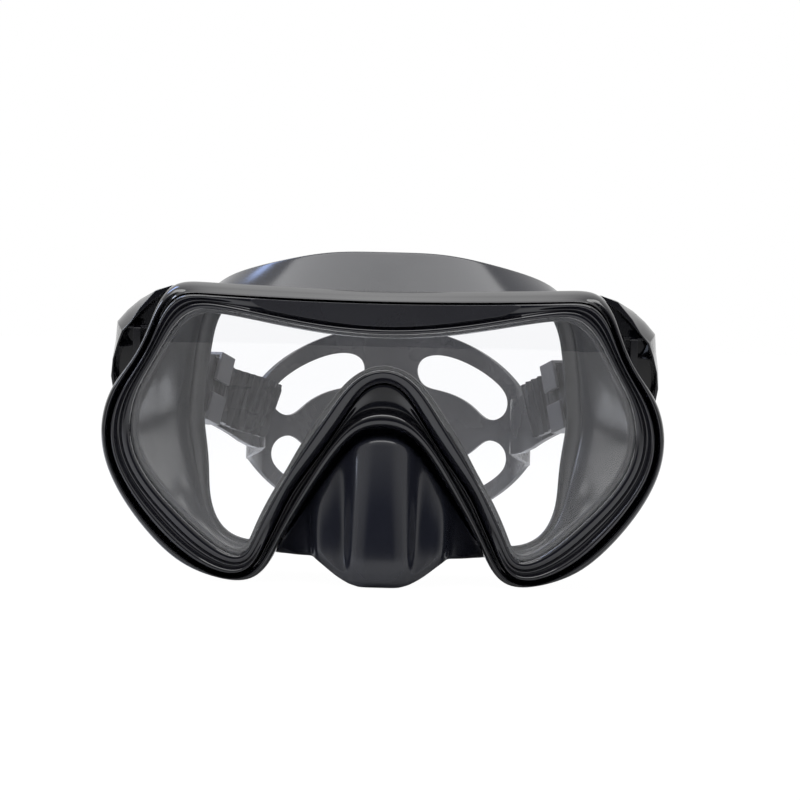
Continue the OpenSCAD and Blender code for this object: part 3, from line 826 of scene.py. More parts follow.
@dataclass
class Skirt:
    """The silicone skirt with its forehead part, nose pocket and sealing flap.

    Attributes:
        wall: Wall at the frame.
        feather: Thickness of the sealing edge.
        flap: Width of the flap that turns inwards.
        narrowing: Share by which the flap is narrower at its lower corners.
        web: Depth at which the nose columns start.
        proud: How far the nose block stands forward of that.
        frame_back: Depth of the frame's back.
        first_column: Number of the loop's point at the first nose column.
        face_height: Height of the face's middle, to which the flap turns.
        lip_reach: Half the width of the round lip under the nose block.
        lip_share: The lip's share of the projection at its middle.
        floor_share: The pocket floor's share of the projection at the foot.
        span: Points to each side over which a surface normal is taken.
    """

    wall: float = 2.2
    feather: float = 0.9
    flap: float = 7.2
    narrowing: float = 0.45
    web: float = 8.0
    proud: float = 21.0
    frame_back: float = 11.0
    first_column: int = 64
    face_height: float = 52.0
    lip_reach: float = 20.6
    lip_share: float = 0.96
    floor_share: float = 0.85
    span: int = 5
    # Share of the way from frame to face at each row of the wall.
    wall_rows: tuple[float, ...] = (0.08, 0.14, 0.2, 0.26, 0.32, 0.38, 0.44, 0.5, 0.56, 0.62, 0.68,
                                    0.74, 0.8, 0.86, 0.91, 0.96, 1)
    # Nose columns: x, height of the foot and share of the block's projection.
    columns: tuple[Triple, ...] = (
        (31, 7.2, 0), (29.6, 7.4, 0.012), (28.2, 7.5, 0.035), (26.8, 7.6, 0.065), (25.4, 7.7, 0.1),
        (23.8, 7.8, 0.14), (22.2, 7.9, 0.18), (20.9, 7.9, 0.21), (20.3, 7.7, 0.36), (19.4, 7.2, 0.49),
        (18, 6.2, 0.53), (16.2, 4.9, 0.54), (14.6, 3.8, 0.55), (13.2, 2.9, 0.55), (11.8, 2.1, 0.55),
        (10.8, 1.6, 0.56), (10.2, 1.3, 0.6), (9.8, 1.1, 0.68), (9.4, 0.9, 0.79), (8.9, 0.7, 0.87),
        (8, 0.5, 0.915), (6.2, 0, 0.955), (4.6, -0.3, 0.993), (3.4, -0.5, 1), (0, -0.6, 1),
    )
    # Nose front: share of the way down, share of the projection and share of the lip at its foot.
    nose_rows: tuple[Triple, ...] = (
        (0.02, 0.42, 0), (0.05, 0.455, 0), (0.1, 0.51, 0), (0.18, 0.6, 0), (0.3, 0.72, 0),
        (0.46, 0.86, 0), (0.66, 0.97, 0.02), (0.8, 1, 0.35), (0.88, 1, 0.8), (0.95, 0.97, 1),
    )
    # The pocket's floor: share of the way from the foot back to the face line.
    floor_rows: tuple[float, ...] = (0.0, 0.06, 0.4, 0.7, 1)

    def outer_rows(self) -> list[list[Vector]]:
        """Returns the outer surface as whole loops in mm, from the frame to the flap's tip."""
        near, far = self.frame_back + 0.8, self.frame_back + 1.2
        face = fine(mirrored([Vector(p) for p in FACE_LINE]))
        start, behind, under, top = (fine_rail(place, depth) for place, depth in (
            (3.4, near), (1.6, far), (-0.3, near), (-0.35, self.web)))
        share, corner = ([p.y for p in fine(mirrored([Vector((x, part, 0)) for (x, _), part in zip(
            OUTER_EDGE, ZONE_SHARES[zone])]))] for zone in (Zone.ARCH, Zone.CORNER))
        count = len(face)
        rows = [fine_rail(3.5, 8), fine_rail(3.5, near)]
        for number, t in enumerate(self.wall_rows):
            row = []
            for i in range(count):
                wall = start[i].lerp(face[i], t)
                column = min(i, count - i)
                if share[i] <= 0:
                    row.append(wall)
                    continue
                side = 1 if i <= count // 2 else -1
                column = max(0, min(len(self.columns) - 1, column - self.first_column))
                x, foot, out = self.columns[column]
                nose = self.nose_point(number, side * x, foot, out,
                                       (behind[i], under[i], top[i], face[i]))
                row.append(wall.lerp(nose, share[i]))
            rows.append(row)
        for reach, depth in ((0.3, 1.6), (0.62, 1.9), (0.94, 1.5), (1, 1.3)):
            turned = self.flap * reach
            rows.append([p + self.inwards(p) * (turned * (1 - self.narrowing * corner[i]))
                         + Vector((0, depth, 0)) for i, p in enumerate(face)])
        return rows

    def nose_point(self, row: int, x: float, foot: float, out: float,
                   guides: tuple[Vector, Vector, Vector, Vector]) -> Vector:
        """Returns the nose pocket's surface point of a row and column.

        Args:
            row: Row of the wall.
            x: The column's foot across the face.
            foot: The foot's height.
            out: The column's share of the projection.
            guides: The points behind the arch, under it, at the column's top and on the face line.

        Returns:
            The point in mm.
        """
        behind, under, top, face = guides
        lip = self.lip_share * math.sqrt(max(0.0, 1 - (x / self.lip_reach) ** 2))
        if row == 0:
            return behind
        if row == 1:
            return under
        if row < 2 + len(self.nose_rows):
            t, g, at_lip = self.nose_rows[row - 2]
            reach = lerp(out, max(out, lip), at_lip) * g
            return Vector((lerp(top.x, x, t), self.web - self.proud * reach, lerp(top.z, foot, t)))
        floor = Vector((x, self.web - self.proud * max(out, lip) * self.floor_share, foot))
        return floor.lerp(face, self.floor_rows[row - 2 - len(self.nose_rows)])

    def inwards(self, p: Vector) -> Vector:
        """Returns the unit direction from a face point to the middle of the face."""
        return Vector((-p.x, 0, self.face_height - p.z)).normalized()

    def mesh(self) -> bmesh.types.BMesh:
        """Builds the skirt's outer and inner surface with its clamped flange."""
        outer = self.outer_rows()
        count, last = len(outer[0]), len(outer) - 1
        inner = []
        for r in range(last, -1, -1):
            thick = lerp(self.wall, self.feather, (r / last) ** 2)
            row = []
            for i in range(count):
                along = outer[r][(i + self.span) % count] - outer[r][i - self.span]
                across = outer[min(r + 1, last)][i] - outer[max(r - 1, 0)][i]
                row.append(outer[r][i] + across.cross(along).normalized() * thick)
            inner.append(row)
        flange = [fine_rail(place, y) for place, y in (
            (4.62, 4.4), (4.5, 4), (2.2, 4), (2.14, 4.2), (2.14, 6.3), (2.2, 6.4), (3.4, 6.45))]
        end = [fine_rail(place, y) for place, y in ((4.5, 6.8), (4.62, 6.4))]
        rails = [[on_floor(spot(*p)) for p in loop] for loop in [*flange, *outer, *inner, *end]]
        return loft(rails)

    def build(self, finishes: Finishes) -> None:
        """Builds the skirt."""
        Piece("skirt_moulding", "mask", "skirt", "silicone", finishes.skirt, subdivision=1).build(
            self.mesh())


# ---- Strap and buckles ---------------------------------------------------------------------


@dataclass(frozen=True)
class Bend:
    """A stretch of a path seen from above, with headings clockwise from +x.

    Attributes:
        start: Heading at its start, in degrees.
        end: Heading at its end, in degrees.
        radius: Radius of an arc in mm, negative where the heading falls, or None for a straight run.
        run: Length of a straight run in mm.
    """

    start: float
    end: float
    radius: float | None = None
    run: float = 0.0

    @property
    def length(self) -> float:
        """Length of the stretch in mm."""
        if self.radius is None:
            return self.run
        return abs(self.radius) * math.radians(abs(self.end - self.start))

    def along(self, s: float) -> tuple[Vector, float]:
        """Returns the step from the stretch's start and the heading, at length s."""
        if self.radius is None:
            h = math.radians(self.start)
            return Vector((math.cos(h), -math.sin(h))) * s, self.start
        heading = lerp(self.start, self.end, s / self.length)
        h, h0 = math.radians(heading), math.radians(self.start)
        return Vector((math.sin(h) - math.sin(h0), math.cos(h) - math.cos(h0))) * self.radius, heading


class PlanPath:
    """A path seen from above, made of bends and straight runs."""

    def __init__(self, origin: Pair, bends: Sequence[Bend]) -> None:
        """Strings the bends together.

        Args:
            origin: Where the path starts, in mm.
            bends: Its stretches in order.
        """
        self.stretches: list[tuple[float, Vector, Bend]] = []
        at, length = Vector(origin), 0.0
        for bend in bends:
            self.stretches.append((length, at, bend))
            at = at + bend.along(bend.length)[0]
            length += bend.length
        self.length = length

    def at(self, s: float) -> tuple[Vector, Vector]:
        """Returns the point at length s, also a little past the end, and the unit vector to its left."""
        for start, origin, bend in reversed(self.stretches):
            if s >= start:
                step, heading = bend.along(s - start)
                h = math.radians(heading)
                return origin + step, Vector((math.sin(h), math.cos(h)))
        return self.at(0.0)


@dataclass
class Harness:
    """The split-ring strap with its keepers and the two buckles.

    Attributes:
        thick: Strap thickness.
        half_band: Half the width of the strap's arms.
        band_z: Height of the arms at the buckles.
        ring_z: Height of the ring's middle.
        ring_half: Half the ring's height.
        ring_wide: Half the ring's width.
        bar_half: Half the height of the ring's sides.
        ring_from: Depth from which the ring's oval bounds the strap.
        rear_y: Depth of the ring's back.
        arm_heading: Heading of the arms from the neck to the rollers, in degrees.
        arm_end_y: Depth at which the arms reach the rollers.
        neck_y: Depth of the neck, where arm and ring meet.
        slope: How steeply the arms fall.
        neck_r: Radius of the neck's bend.
        wrap_r: Radius of the turn round a roller.
        wrap_turn: Angle of that turn, in degrees.
        keeper_run: Length of tail up to its keeper.
        rib_count: Ribs on a tail.
        rib_pitch: From one rib to the next.
        rib_high: Height of a rib.
        rib_foot: Half a rib's width at its foot.
        rib_flank: Width of a rib's flank.
        end_rib: From the last rib's middle to the tip.
        tip_round: Corner radius of a tail's tip.
        lean: How far the ribs and the tip slant, as a share of the height.
        step: Length of a division of the strap's mesh.
        tail_turns: How far each side's tail curls away at its end, in degrees.
    """

    thick: float = 2.0
    half_band: float = 9.5
    band_z: float = 66.0
    ring_z: float = 38.5
    ring_half: float = 39.0
    ring_wide: float = 55.0
    bar_half: float = 9.4
    ring_from: float = 131.0
    rear_y: float = 192.6
    arm_heading: float = 57.0
    arm_end_y: float = 44.0
    neck_y: float = 122.0
    slope: float = 0.42
    neck_r: float = -74.0
    wrap_r: float = 3.6
    wrap_turn: float = 185.5
    keeper_run: float = 38.0
    rib_count: int = 13
    rib_pitch: float = 3.0
    rib_high: float = 0.95
    rib_foot: float = 0.8
    rib_flank: float = 0.45
    end_rib: float = 1.5
    tip_round: float = 2.5
    lean: float = 0.37
    step: float = 0.8
    tail_turns: dict[int, float] = field(default_factory=lambda: {-1: 27.0, 1: 10.0})
    # The arm's fall below the swivels by depth, and how much taller the sloping band is.
    fall: tuple[Triple, ...] = ((20, 0, 0), (47, 0, 0), (52, 1, 0.3), (60, 3.9, 0.7), (74.9, 10, 0.8),
                                (94, 18.2, 0.8), (101, 20.4, 0.6), (108, 21.6, 0.4), (122, 22.7, 0.2))
    # The ring's upper and lower edge seen from the side, behind the neck: depth and height.
    crest: tuple[Pair, ...] = ((134, 51.8), (146, 50), (160, 51.8), (172, 57.4), (181, 65.6),
                               (185.7, 71.4), (188, 75), (192, 83), (200, 91))
    keel: tuple[Pair, ...] = ((134, 32.6), (146, 30), (160, 27), (172, 21.4), (181, 13.2), (185.7, 7.4),
                              (188, 3.8), (192, -4), (200, -12))
    # Upper right window of the ring, seen from the front.
    window: tuple[Pair, ...] = ((12.5, 54.4), (9.6, 60), (11.4, 66), (19.5, 67.6), (30, 64.4),
                                (40, 58.6), (46.8, 52.2), (45.4, 43.6), (37.6, 41.2), (32.6, 47.6),
                                (25, 51.8), (18, 53.4))

    def __post_init__(self) -> None:
        """Lays out the strap's path on both sides."""
        self.paths = {side: self._path(turn) for side, turn in self.tail_turns.items()}
        arm_end = self.paths[1].at(self.wrap_from)[0]
        inward = math.radians(self.arm_heading + 90)
        self.roller = arm_end + Vector((math.cos(inward), -math.sin(inward))) * self.wrap_r
        self.lever = self.roller + Vector((6.4, 1.6))

    def _path(self, turn: float) -> PlanPath:
        """Returns the plan of half the strap, from the ring's middle to the tail's tip."""
        ring = [Bend(0, 22, 95), Bend(22, 112, 27), Bend(112, self.arm_heading, self.neck_r)]
        start = PlanPath((0, self.rear_y), ring)
        arm = (start.at(start.length)[0].y - self.arm_end_y) / math.sin(math.radians(self.arm_heading))
        self.wrap_from = start.length + arm
        tail = self.arm_heading + self.wrap_turn
        return PlanPath((0, self.rear_y), [
            *ring, Bend(self.arm_heading, self.arm_heading, run=arm),
            Bend(self.arm_heading, tail, self.wrap_r),
            Bend(tail, tail, run=self.keeper_run + 5), Bend(tail, tail - turn, -16),
            Bend(tail - turn, tail - turn, run=6), Bend(tail - turn, tail - turn * 0.35, 30)])

    @staticmethod
    def table(points: Sequence[Pair], y: float) -> float:
        """Returns the value of a table of pairs at y."""
        for (a, p), (b, q) in zip(points, points[1:]):
            if y <= b:
                return lerp(p, q, (y - a) / (b - a))
        return points[-1][1]

    def band(self, y: float) -> Pair:
        """Returns the height of the arm's middle and half its height at a depth."""
        drop = self.table([(a, b) for a, b, _ in self.fall], y)
        return self.band_z - drop, self.half_band + self.table([(a, c) for a, _, c in self.fall], y)

    def heights(self, side: int, s: float) -> Pair:
        """Returns the strap's lower and upper edge at a length along its path."""
        point = self.paths[side].at(s)[0]
        middle, half = self.band(min(point.y, self.neck_y))
        low, top = middle - half, middle + half
        if point.y >= self.neck_y:
            top = self.table([(self.neck_y, top), *self.crest], point.y)
            low = self.table([(self.neck_y, low), *self.keel], point.y)
        if point.y >= self.ring_from and s < self.wrap_from:
            across = min(1.0, abs(point.x) / self.ring_wide)
            reach = max(self.ring_half * math.sqrt(1 - across * across), self.bar_half)
            low, top = max(low, self.ring_z - reach, 0.0), min(top, self.ring_z + reach)
        return low, top

    def edge(self, side: int, up: int) -> list[Pair]:
        """Returns one edge of the strap's flat pattern with the rounded corner of its slanting tip.

        Args:
            side: -1 for the left half and 1 for the right.
            up: -1 for the lower edge and 1 for the upper.

        Returns:
            Lengths along the path and heights in mm, from the ring's middle to the tip.
        """
        length = self.paths[side].length
        end = length + up * self.lean * self.half_band
        points = []
        for s in [*(c for c in self.cuts(side) if c < end - self.tip_round),
                  *(end - self.tip_round * k for k in (1, 0.7, 0.45, 0.25, 0.1, 0.02))]:
            rest = max(0.0, self.tip_round - (end - s))
            inset = self.tip_round - math.sqrt(max(0.0, self.tip_round**2 - rest**2))
            low, top = self.heights(side, s)
            points.append((s, top - inset if up > 0 else low + inset))
        return points

    def rib(self, side: int, s: float) -> float:
        """Returns how far the ribs raise the tail's inner face at a length along the path."""
        along = self.paths[side].length - self.end_rib - s
        if along < -1 or along > (self.rib_count - 1) * self.rib_pitch + 1:
            return 0.0
        off = abs(along - round(along / self.rib_pitch) * self.rib_pitch)
        return self.rib_high * max(0.0, min(1.0, (self.rib_foot - off) / self.rib_flank))

    def rib_cuts(self, side: int) -> list[float]:
        """Returns the lengths, at the band's middle, where the slanting ribs divide the strap's mesh."""
        last = self.paths[side].length - self.end_rib
        top = self.rib_foot - self.rib_flank
        return [last - r * self.rib_pitch + off for r in range(self.rib_count)
                for off in (-self.rib_foot, -top, top, self.rib_foot)]

    def cuts(self, side: int) -> list[float]:
        """Returns the lengths at which the strap's mesh is divided straight across."""
        ribs_from = self.paths[side].length - self.rib_count * self.rib_pitch - self.lean * self.half_band
        wrap_to = self.wrap_from + self.wrap_r * math.radians(self.wrap_turn)
        stops = {self.step * k for k in range(1, int(self.wrap_from / self.step))}
        stops |= {lerp(self.wrap_from, wrap_to, k / 24) for k in range(25)}
        stops |= {lerp(ribs_from, self.paths[side].length, k / 24) for k in range(25)}
        return sorted(stops)

    def length_at(self, x: float) -> float:
        """Returns the length along the ring's back where the path has come to x."""
        low, high = 0.0, self.paths[1].length / 3
        while self.paths[1].at(high)[0].y < 165:
            high *= 0.9
        for _ in range(40):
            middle = (low + high) / 2
            low, high = (middle, high) if self.paths[1].at(middle)[0].x < x else (low, middle)
        return low

    def strap_mesh(self) -> bmesh.types.BMesh:
        """Builds the strap as a flat pattern with four windows, thickened and bent to its path."""
        rim = []
        for side, up in ((1, -1), (1, 1), (-1, 1), (-1, -1)):
            half = [(side * s, z) for s, z in self.edge(side, up)]
            rim += half if (side > 0) == (up < 0) else half[::-1]
        holes = []
        window = smooth_outline(self.window, 5)
        for side in (-1, 1):
            for up in (-1, 1):
                holes.append([(side * self.length_at(x), self.ring_z + up * (z - self.ring_z))
                              for x, z in window])
        bm = bmesh.new()
        edges = []
        for loop in (rim, *holes):
            edges += closed_line(bm, [Vector((a, b, -self.thick / 2)) for a, b in loop])
        bmesh.ops.triangle_fill(bm, use_beauty=True, edges=edges, normal=(0, 0, 1))
        for side in (-1, 1):
            ribs_from = self.rib_cuts(side)[-4]
            lines = [(s, 0.0, 0.0) for s in self.cuts(side) if s < ribs_from - self.lean * self.half_band]
            for s in self.rib_cuts(side):
                lines.append((s, self.band(self.paths[side].at(s)[0].y)[0], self.lean))
            for s, middle, lean in lines:
                bmesh.ops.bisect_plane(bm, geom=[*bm.verts, *bm.edges, *bm.faces], dist=1e-4,
                                       plane_co=(side * s, middle, 0), plane_no=(side, -lean, 0))
        made = bmesh.ops.extrude_face_region(bm, geom=bm.faces[:])["geom"]
        raised = [g for g in made if isinstance(g, bmesh.types.BMVert)]
        bmesh.ops.translate(bm, vec=(0, 0, self.thick), verts=raised)
        for vert in bm.verts:
            u, z, across = vert.co
            side = -1 if u < 0 else 1
            point, left = self.paths[side].at(abs(u))
            if across > 0 and abs(u) > self.wrap_from:
                middle = self.band(point.y)[0]
                across += self.rib(side, abs(u) - self.lean * (z - middle))
            place = point + left * across
            vert.co = spot(side * place.x, place.y, z)
        bmesh.ops.recalc_face_normals(bm, faces=bm.faces)
        return bm

    def keeper_mesh(self, side: int) -> bmesh.types.BMesh:
        """Builds a C-shaped keeper round the arm and the tail, open between its two tabs."""
        wall, play, length, deep = 1.3, 0.35, 7.5, 2 * self.thick + 3.7
        tall = self.half_band + 1.1
        gap = 2.2
        lower = [(-wall, -tall - wall), (deep + wall, -tall - wall), (deep + wall, -gap), (deep, -gap),
                 (deep, -tall), (0, -tall)]
        section = [*lower, *[(a, -b) for a, b in reversed(lower)]]
        bm = slab(section, lambda a, b, h: Vector((a, b, h)) * MM, -length / 2, length / 2)
        path = self.paths[1]
        wrap_to = self.wrap_from + self.wrap_r * math.radians(self.wrap_turn)
        y = path.at(wrap_to + self.keeper_run)[0].y + 0.8
        run = (y - self.arm_end_y) / math.sin(math.radians(self.arm_heading))
        arm, left = path.at(self.wrap_from - run)
        place = arm + left * (self.thick / 2 + play)
        droop = math.atan(self.slope * math.sin(math.radians(self.arm_heading)))
        turn = (Matrix.Translation(spot(place.x, place.y, self.band_z - 9.6))
                @ Matrix.Rotation(math.radians(90 - self.arm_heading), 4, "Z")
                @ Matrix.Rotation(math.pi / 2 - droop, 4, "X") @ Matrix.Scale(-1, 4, (1, 0, 0)))
        bmesh.ops.transform(bm, matrix=turn, verts=bm.verts)
        bmesh.ops.recalc_face_normals(bm, faces=bm.faces)
        return flipped(bm) if side < 0 else bm

    def build(self, finishes: Finishes) -> None:
        """Builds the strap, its keepers and the two buckles."""
        Piece("split_ring_strap", "harness", "strap", "strap_silicone", finishes.strap, bevel=0.3).build(
            self.strap_mesh())
        for side, name in ((-1, "left"), (1, "right")):
            Piece(f"tail_keeper_{name}", "harness", f"strap_keeper_{name}", "keeper_plastic",
                  finishes.keeper, bevel=0.35).build(self.keeper_mesh(side))
            Buckle(side, self.roller, self.lever).build(finishes)


def arc(centre: Pair, radius: float, start: float, end: float, steps: int = 10) -> list[Pair]:
    """Returns points of an arc in a plane, angles in degrees."""
    turns = (math.radians(lerp(start, end, k / steps)) for k in range(steps + 1))
    return [(centre[0] + radius * math.cos(t), centre[1] + radius * math.sin(t)) for t in turns]


def lathe(radius: float, low: float, high: float, chamfer: float = 0.25) -> list[Pair]:
    """Returns the profile of a chamfered cylinder as radius and height pairs."""
    return [(0, low), (radius - chamfer, low), (radius, low + chamfer), (radius, high - chamfer),
            (radius - chamfer, high), (0, high)]


@dataclass
class Buckle:
    """One swivelling ratchet buckle with the frame's bracket that carries it, laid out on the right.

    Attributes:
        side: -1 for the picture's left, 1 for its right.
        roller: The roller's place seen from above.
        lever: The lever pin's place seen from above.
        lug: Outer face of the bracket's inner lug.
        swivel: Depth and height of the swivel axis.
        half: Half the room between the cheeks.
        cheek: Thickness of a cheek.
        band_half: Half the strap's width.
        front: Depth where the bracket leaves the frame.
        thinner_front: How much thinner the bracket's shell is at its front.
    """

    side: int
    roller: Vector
    lever: Vector
    lug: float = 78.6
    swivel: Pair = (25.0, 66.0)
    half: float = 10.7
    cheek: float = 1.6
    band_half: float = 9.5
    front: float = 11.0
    thinner_front: float = 1.1
    # The bracket's shell seen from the front: outer line from the top down, inner line back up.
    outer_line: tuple[Pair, ...] = ((66.5, 90.6), (72, 89.2), (77.5, 86), (81.5, 82.6), (85, 78.9),
                                    (86.2, 73.6), (87.1, 67.5), (87.2, 61.5), (86, 56.6), (84.2, 55))
    inner_line: tuple[Pair, ...] = ((83.6, 56.6), (84.6, 59.4), (85.5, 63.5), (85.5, 67.5),
                                    (84.6, 73), (83.5, 77.7), (80.7, 81.3), (76.9, 84.4),
                                    (73.2, 86.5), (68.8, 88.2))
    # The shell's rear edge seen from the side: height and depth.
    rear_edge: tuple[Pair, ...] = ((54, 25), (56, 30), (59, 33.2), (63, 34), (69, 34), (73, 32.5),
                                   (77.5, 25), (80, 21), (84, 20), (91, 19))
    # How much smaller the shell is at its front: height and inset.
    flare: tuple[Pair, ...] = ((54, 1.6), (61, 2), (68, 2.4), (74, 3.2), (79, 4.2), (83, 4.2),
                               (86, 2.8), (88, 1.2), (90.2, 0))

    @staticmethod
    def drawn_in(x: float, z: float, pull: float) -> Pair:
        """Returns a point of the front view moved towards the frame by a distance."""
        reach = math.hypot(x - 70, z - 64)
        return x - pull * (x - 70) / reach, z - pull * (z - 64) / reach

    def shell(self) -> bmesh.types.BMesh:
        """Builds the bracket's shell, which flares from the frame's edge to its rear edge."""
        depths = (0.0, 0.12, 0.35, 0.6, 0.85, 1.0)
        rows = []
        for outer, inner in zip(self.outer_line, self.inner_line[::-1]):
            row = []
            for (x, z), thinner, order in ((outer, 0.0, depths),
                                           (inner, self.thinner_front, depths[::-1])):
                rear = Harness.table(self.rear_edge, z)
                for t in order:
                    pull = Harness.table(self.flare, z) * (1 - t) ** 1.5 - thinner * (1 - t)
                    drawn_x, drawn_z = self.drawn_in(x, z, pull)
                    row.append(spot(drawn_x, lerp(self.front, rear, t), drawn_z))
            rows.append(row)
        bm = loft(rows, ring=False)
        bmesh.ops.edgeloop_fill(bm, edges=[e for e in bm.edges if e.is_boundary])
        bmesh.ops.recalc_face_normals(bm, faces=bm.faces)
        return bm

    def bracket(self) -> bmesh.types.BMesh:
        """Builds the bracket: shell, lug, closing web, and the ribs seen inside it."""
        y, z = self.swivel
        lug = slab([(self.front, 63), (y, z - 7), *arc(self.swivel, 7, -80, 80, 12), (y, z + 7),
                    (17, 80), (self.front, 77)], side_plane, self.lug - 2.4, self.lug)
        foot = slab([(71.2, 81), (73.6, 77), (75.6, 72.6), (78, 67.6), (80.8, 63.2), (82.4, 59.4),
                     (82.4, 56.4), (80.5, 55.4), (76.2, 66), (71, 79)], front_plane, self.front,
                    self.front + 2)
        # The web ends inside the shell's wall, which is thinner below than at the top.
        edge = [self.drawn_in(x, z, 0.6 if z < 80 else -0.2) for x, z in self.inner_line]
        web = slab([*edge, (66, 87), (71, 80), (76.5, 66), (82, 58)], front_plane, 18, 19.2)
        shelf = slab([(74, 77.9), (80.4, 77.7), (80.6, 76.8), (74.2, 76.9)], front_plane, 12.4, 19)
        gusset = slab([(82.2, 76.2), (83, 70.8), (77.6, 71.4), (80.4, 72.8)],
                      lambda a, b, h: spot(a, h + 0.8 * (b - 73), b), 14.5, 16.5)
        return joined([self.shell(), lug, foot, web, shelf, gusset])

    def body(self) -> bmesh.types.BMesh:
        """Builds the buckle's body: hub, yoke and two cheeks."""
        y, z = self.swivel
        tall = self.half + self.cheek
        hub = turned_solid(lathe(4.2, 0, 5.8), spot(self.lug + 0.3, y, z), Vector((1, 0, 0)))
        yoke = slab([*arc(self.swivel, 6.6, 270, 90, 14), (31, z + tall), (34.4, z + tall),
                     (34.4, z - tall), (31, z - tall)], side_plane, self.lug + 0.3, 81.3)
        roller, lever = tuple(self.roller), tuple(self.lever)
        plan = [(self.lug + 0.3, 31), (81.3, 31), (81.9, 35), *arc(lever, 1.6, -30, 90, 6),
                *arc(roller, 5.4, 78, 250, 12), (roller[0] + 0.8, roller[1] - 5.3)]
        cheeks = [slab(plan, plan_plane, low, low + self.cheek) for low in (z - tall, z + self.half)]
        return joined([hub, yoke, *cheeks])

    def lever_mesh(self) -> bmesh.types.BMesh:
        """Builds the release lever: a barrel round its pin and a curved thumb blade."""
        half = self.band_half - 0.5
        x, y = self.lever
        z = self.swivel[1]
        barrel = turned_solid(lathe(1.7, -half, half, 0.15), spot(x, y, z), Vector((0, 0, 1)), 32)
        blade = [(-1.3, 1), (-1.45, 3.5), (-1.7, 6), (-2.4, 9), (-3.6, 12), (-3, 12.7), (-2.2, 12.8),
                 (-1, 10), (0, 7), (0.8, 4), (1.3, 1)]
        plate = slab([(x + a, y + b) for a, b in blade], plan_plane, z - half, z + half)
        return joined([barrel, plate])

    def build(self, finishes: Finishes) -> None:
        """Builds the buckle's pieces on its side."""
        name = "right" if self.side > 0 else "left"
        z, up = self.swivel[1], Vector((0, 0, 1))
        tall, band = self.half + self.cheek, self.band_half + 0.7
        roller, lever = (spot(p.x, p.y, z) for p in (self.roller, self.lever))
        barrel = [(0, -band), (1.1, -band), (2.2, -band), (2.5, 0.3 - band), (2.5, band - 0.3),
                  (2.2, band), (1.1, band), (0, band)]
        headed = [(0, -3.4), (3.6, -3.4), (4, -3), (4, -2.5), (2.5, -2.4), (2.5, 7.3), (2.2, 7.6),
                  (0, 7.6)]
        pieces = (
            ("side_bracket", "mask", "gloss_black", finishes.gloss, 0.3, self.bracket()),
            ("swivel_pin", "mask", "steel", finishes.steel, 0,
             turned_solid(headed, spot(self.lug, *self.swivel), Vector((1, 0, 0)))),
            ("buckle_body", "harness", "buckle_plastic", finishes.gloss, 0.3, self.body()),
            ("roller", f"roller_{name}", "steel", finishes.steel, 0, turned_solid(barrel, roller, up)),
            ("roller_pin", "harness", "steel", finishes.steel, 0,
             turned_solid(lathe(1.1, -tall - 0.3, tall + 0.3), roller, up, 32)),
            ("lever_pin", "harness", "steel", finishes.steel, 0,
             turned_solid(lathe(0.9, -tall - 0.2, tall + 0.2), lever, up, 32)),
            ("release_lever", f"release_lever_{name}", "buckle_plastic", finishes.gloss, 0.25,
             self.lever_mesh()),
        )
        for node, body, slot, finish, bevel, bm in pieces:
            Piece(f"{node}_{name}_shape", body, f"{node}_{name}", slot, finish, bevel=bevel,
                  bevel_angle=25).build(flipped(bm) if self.side < 0 else bm)


# ---- Studio --------------------------------------------------------------------------------


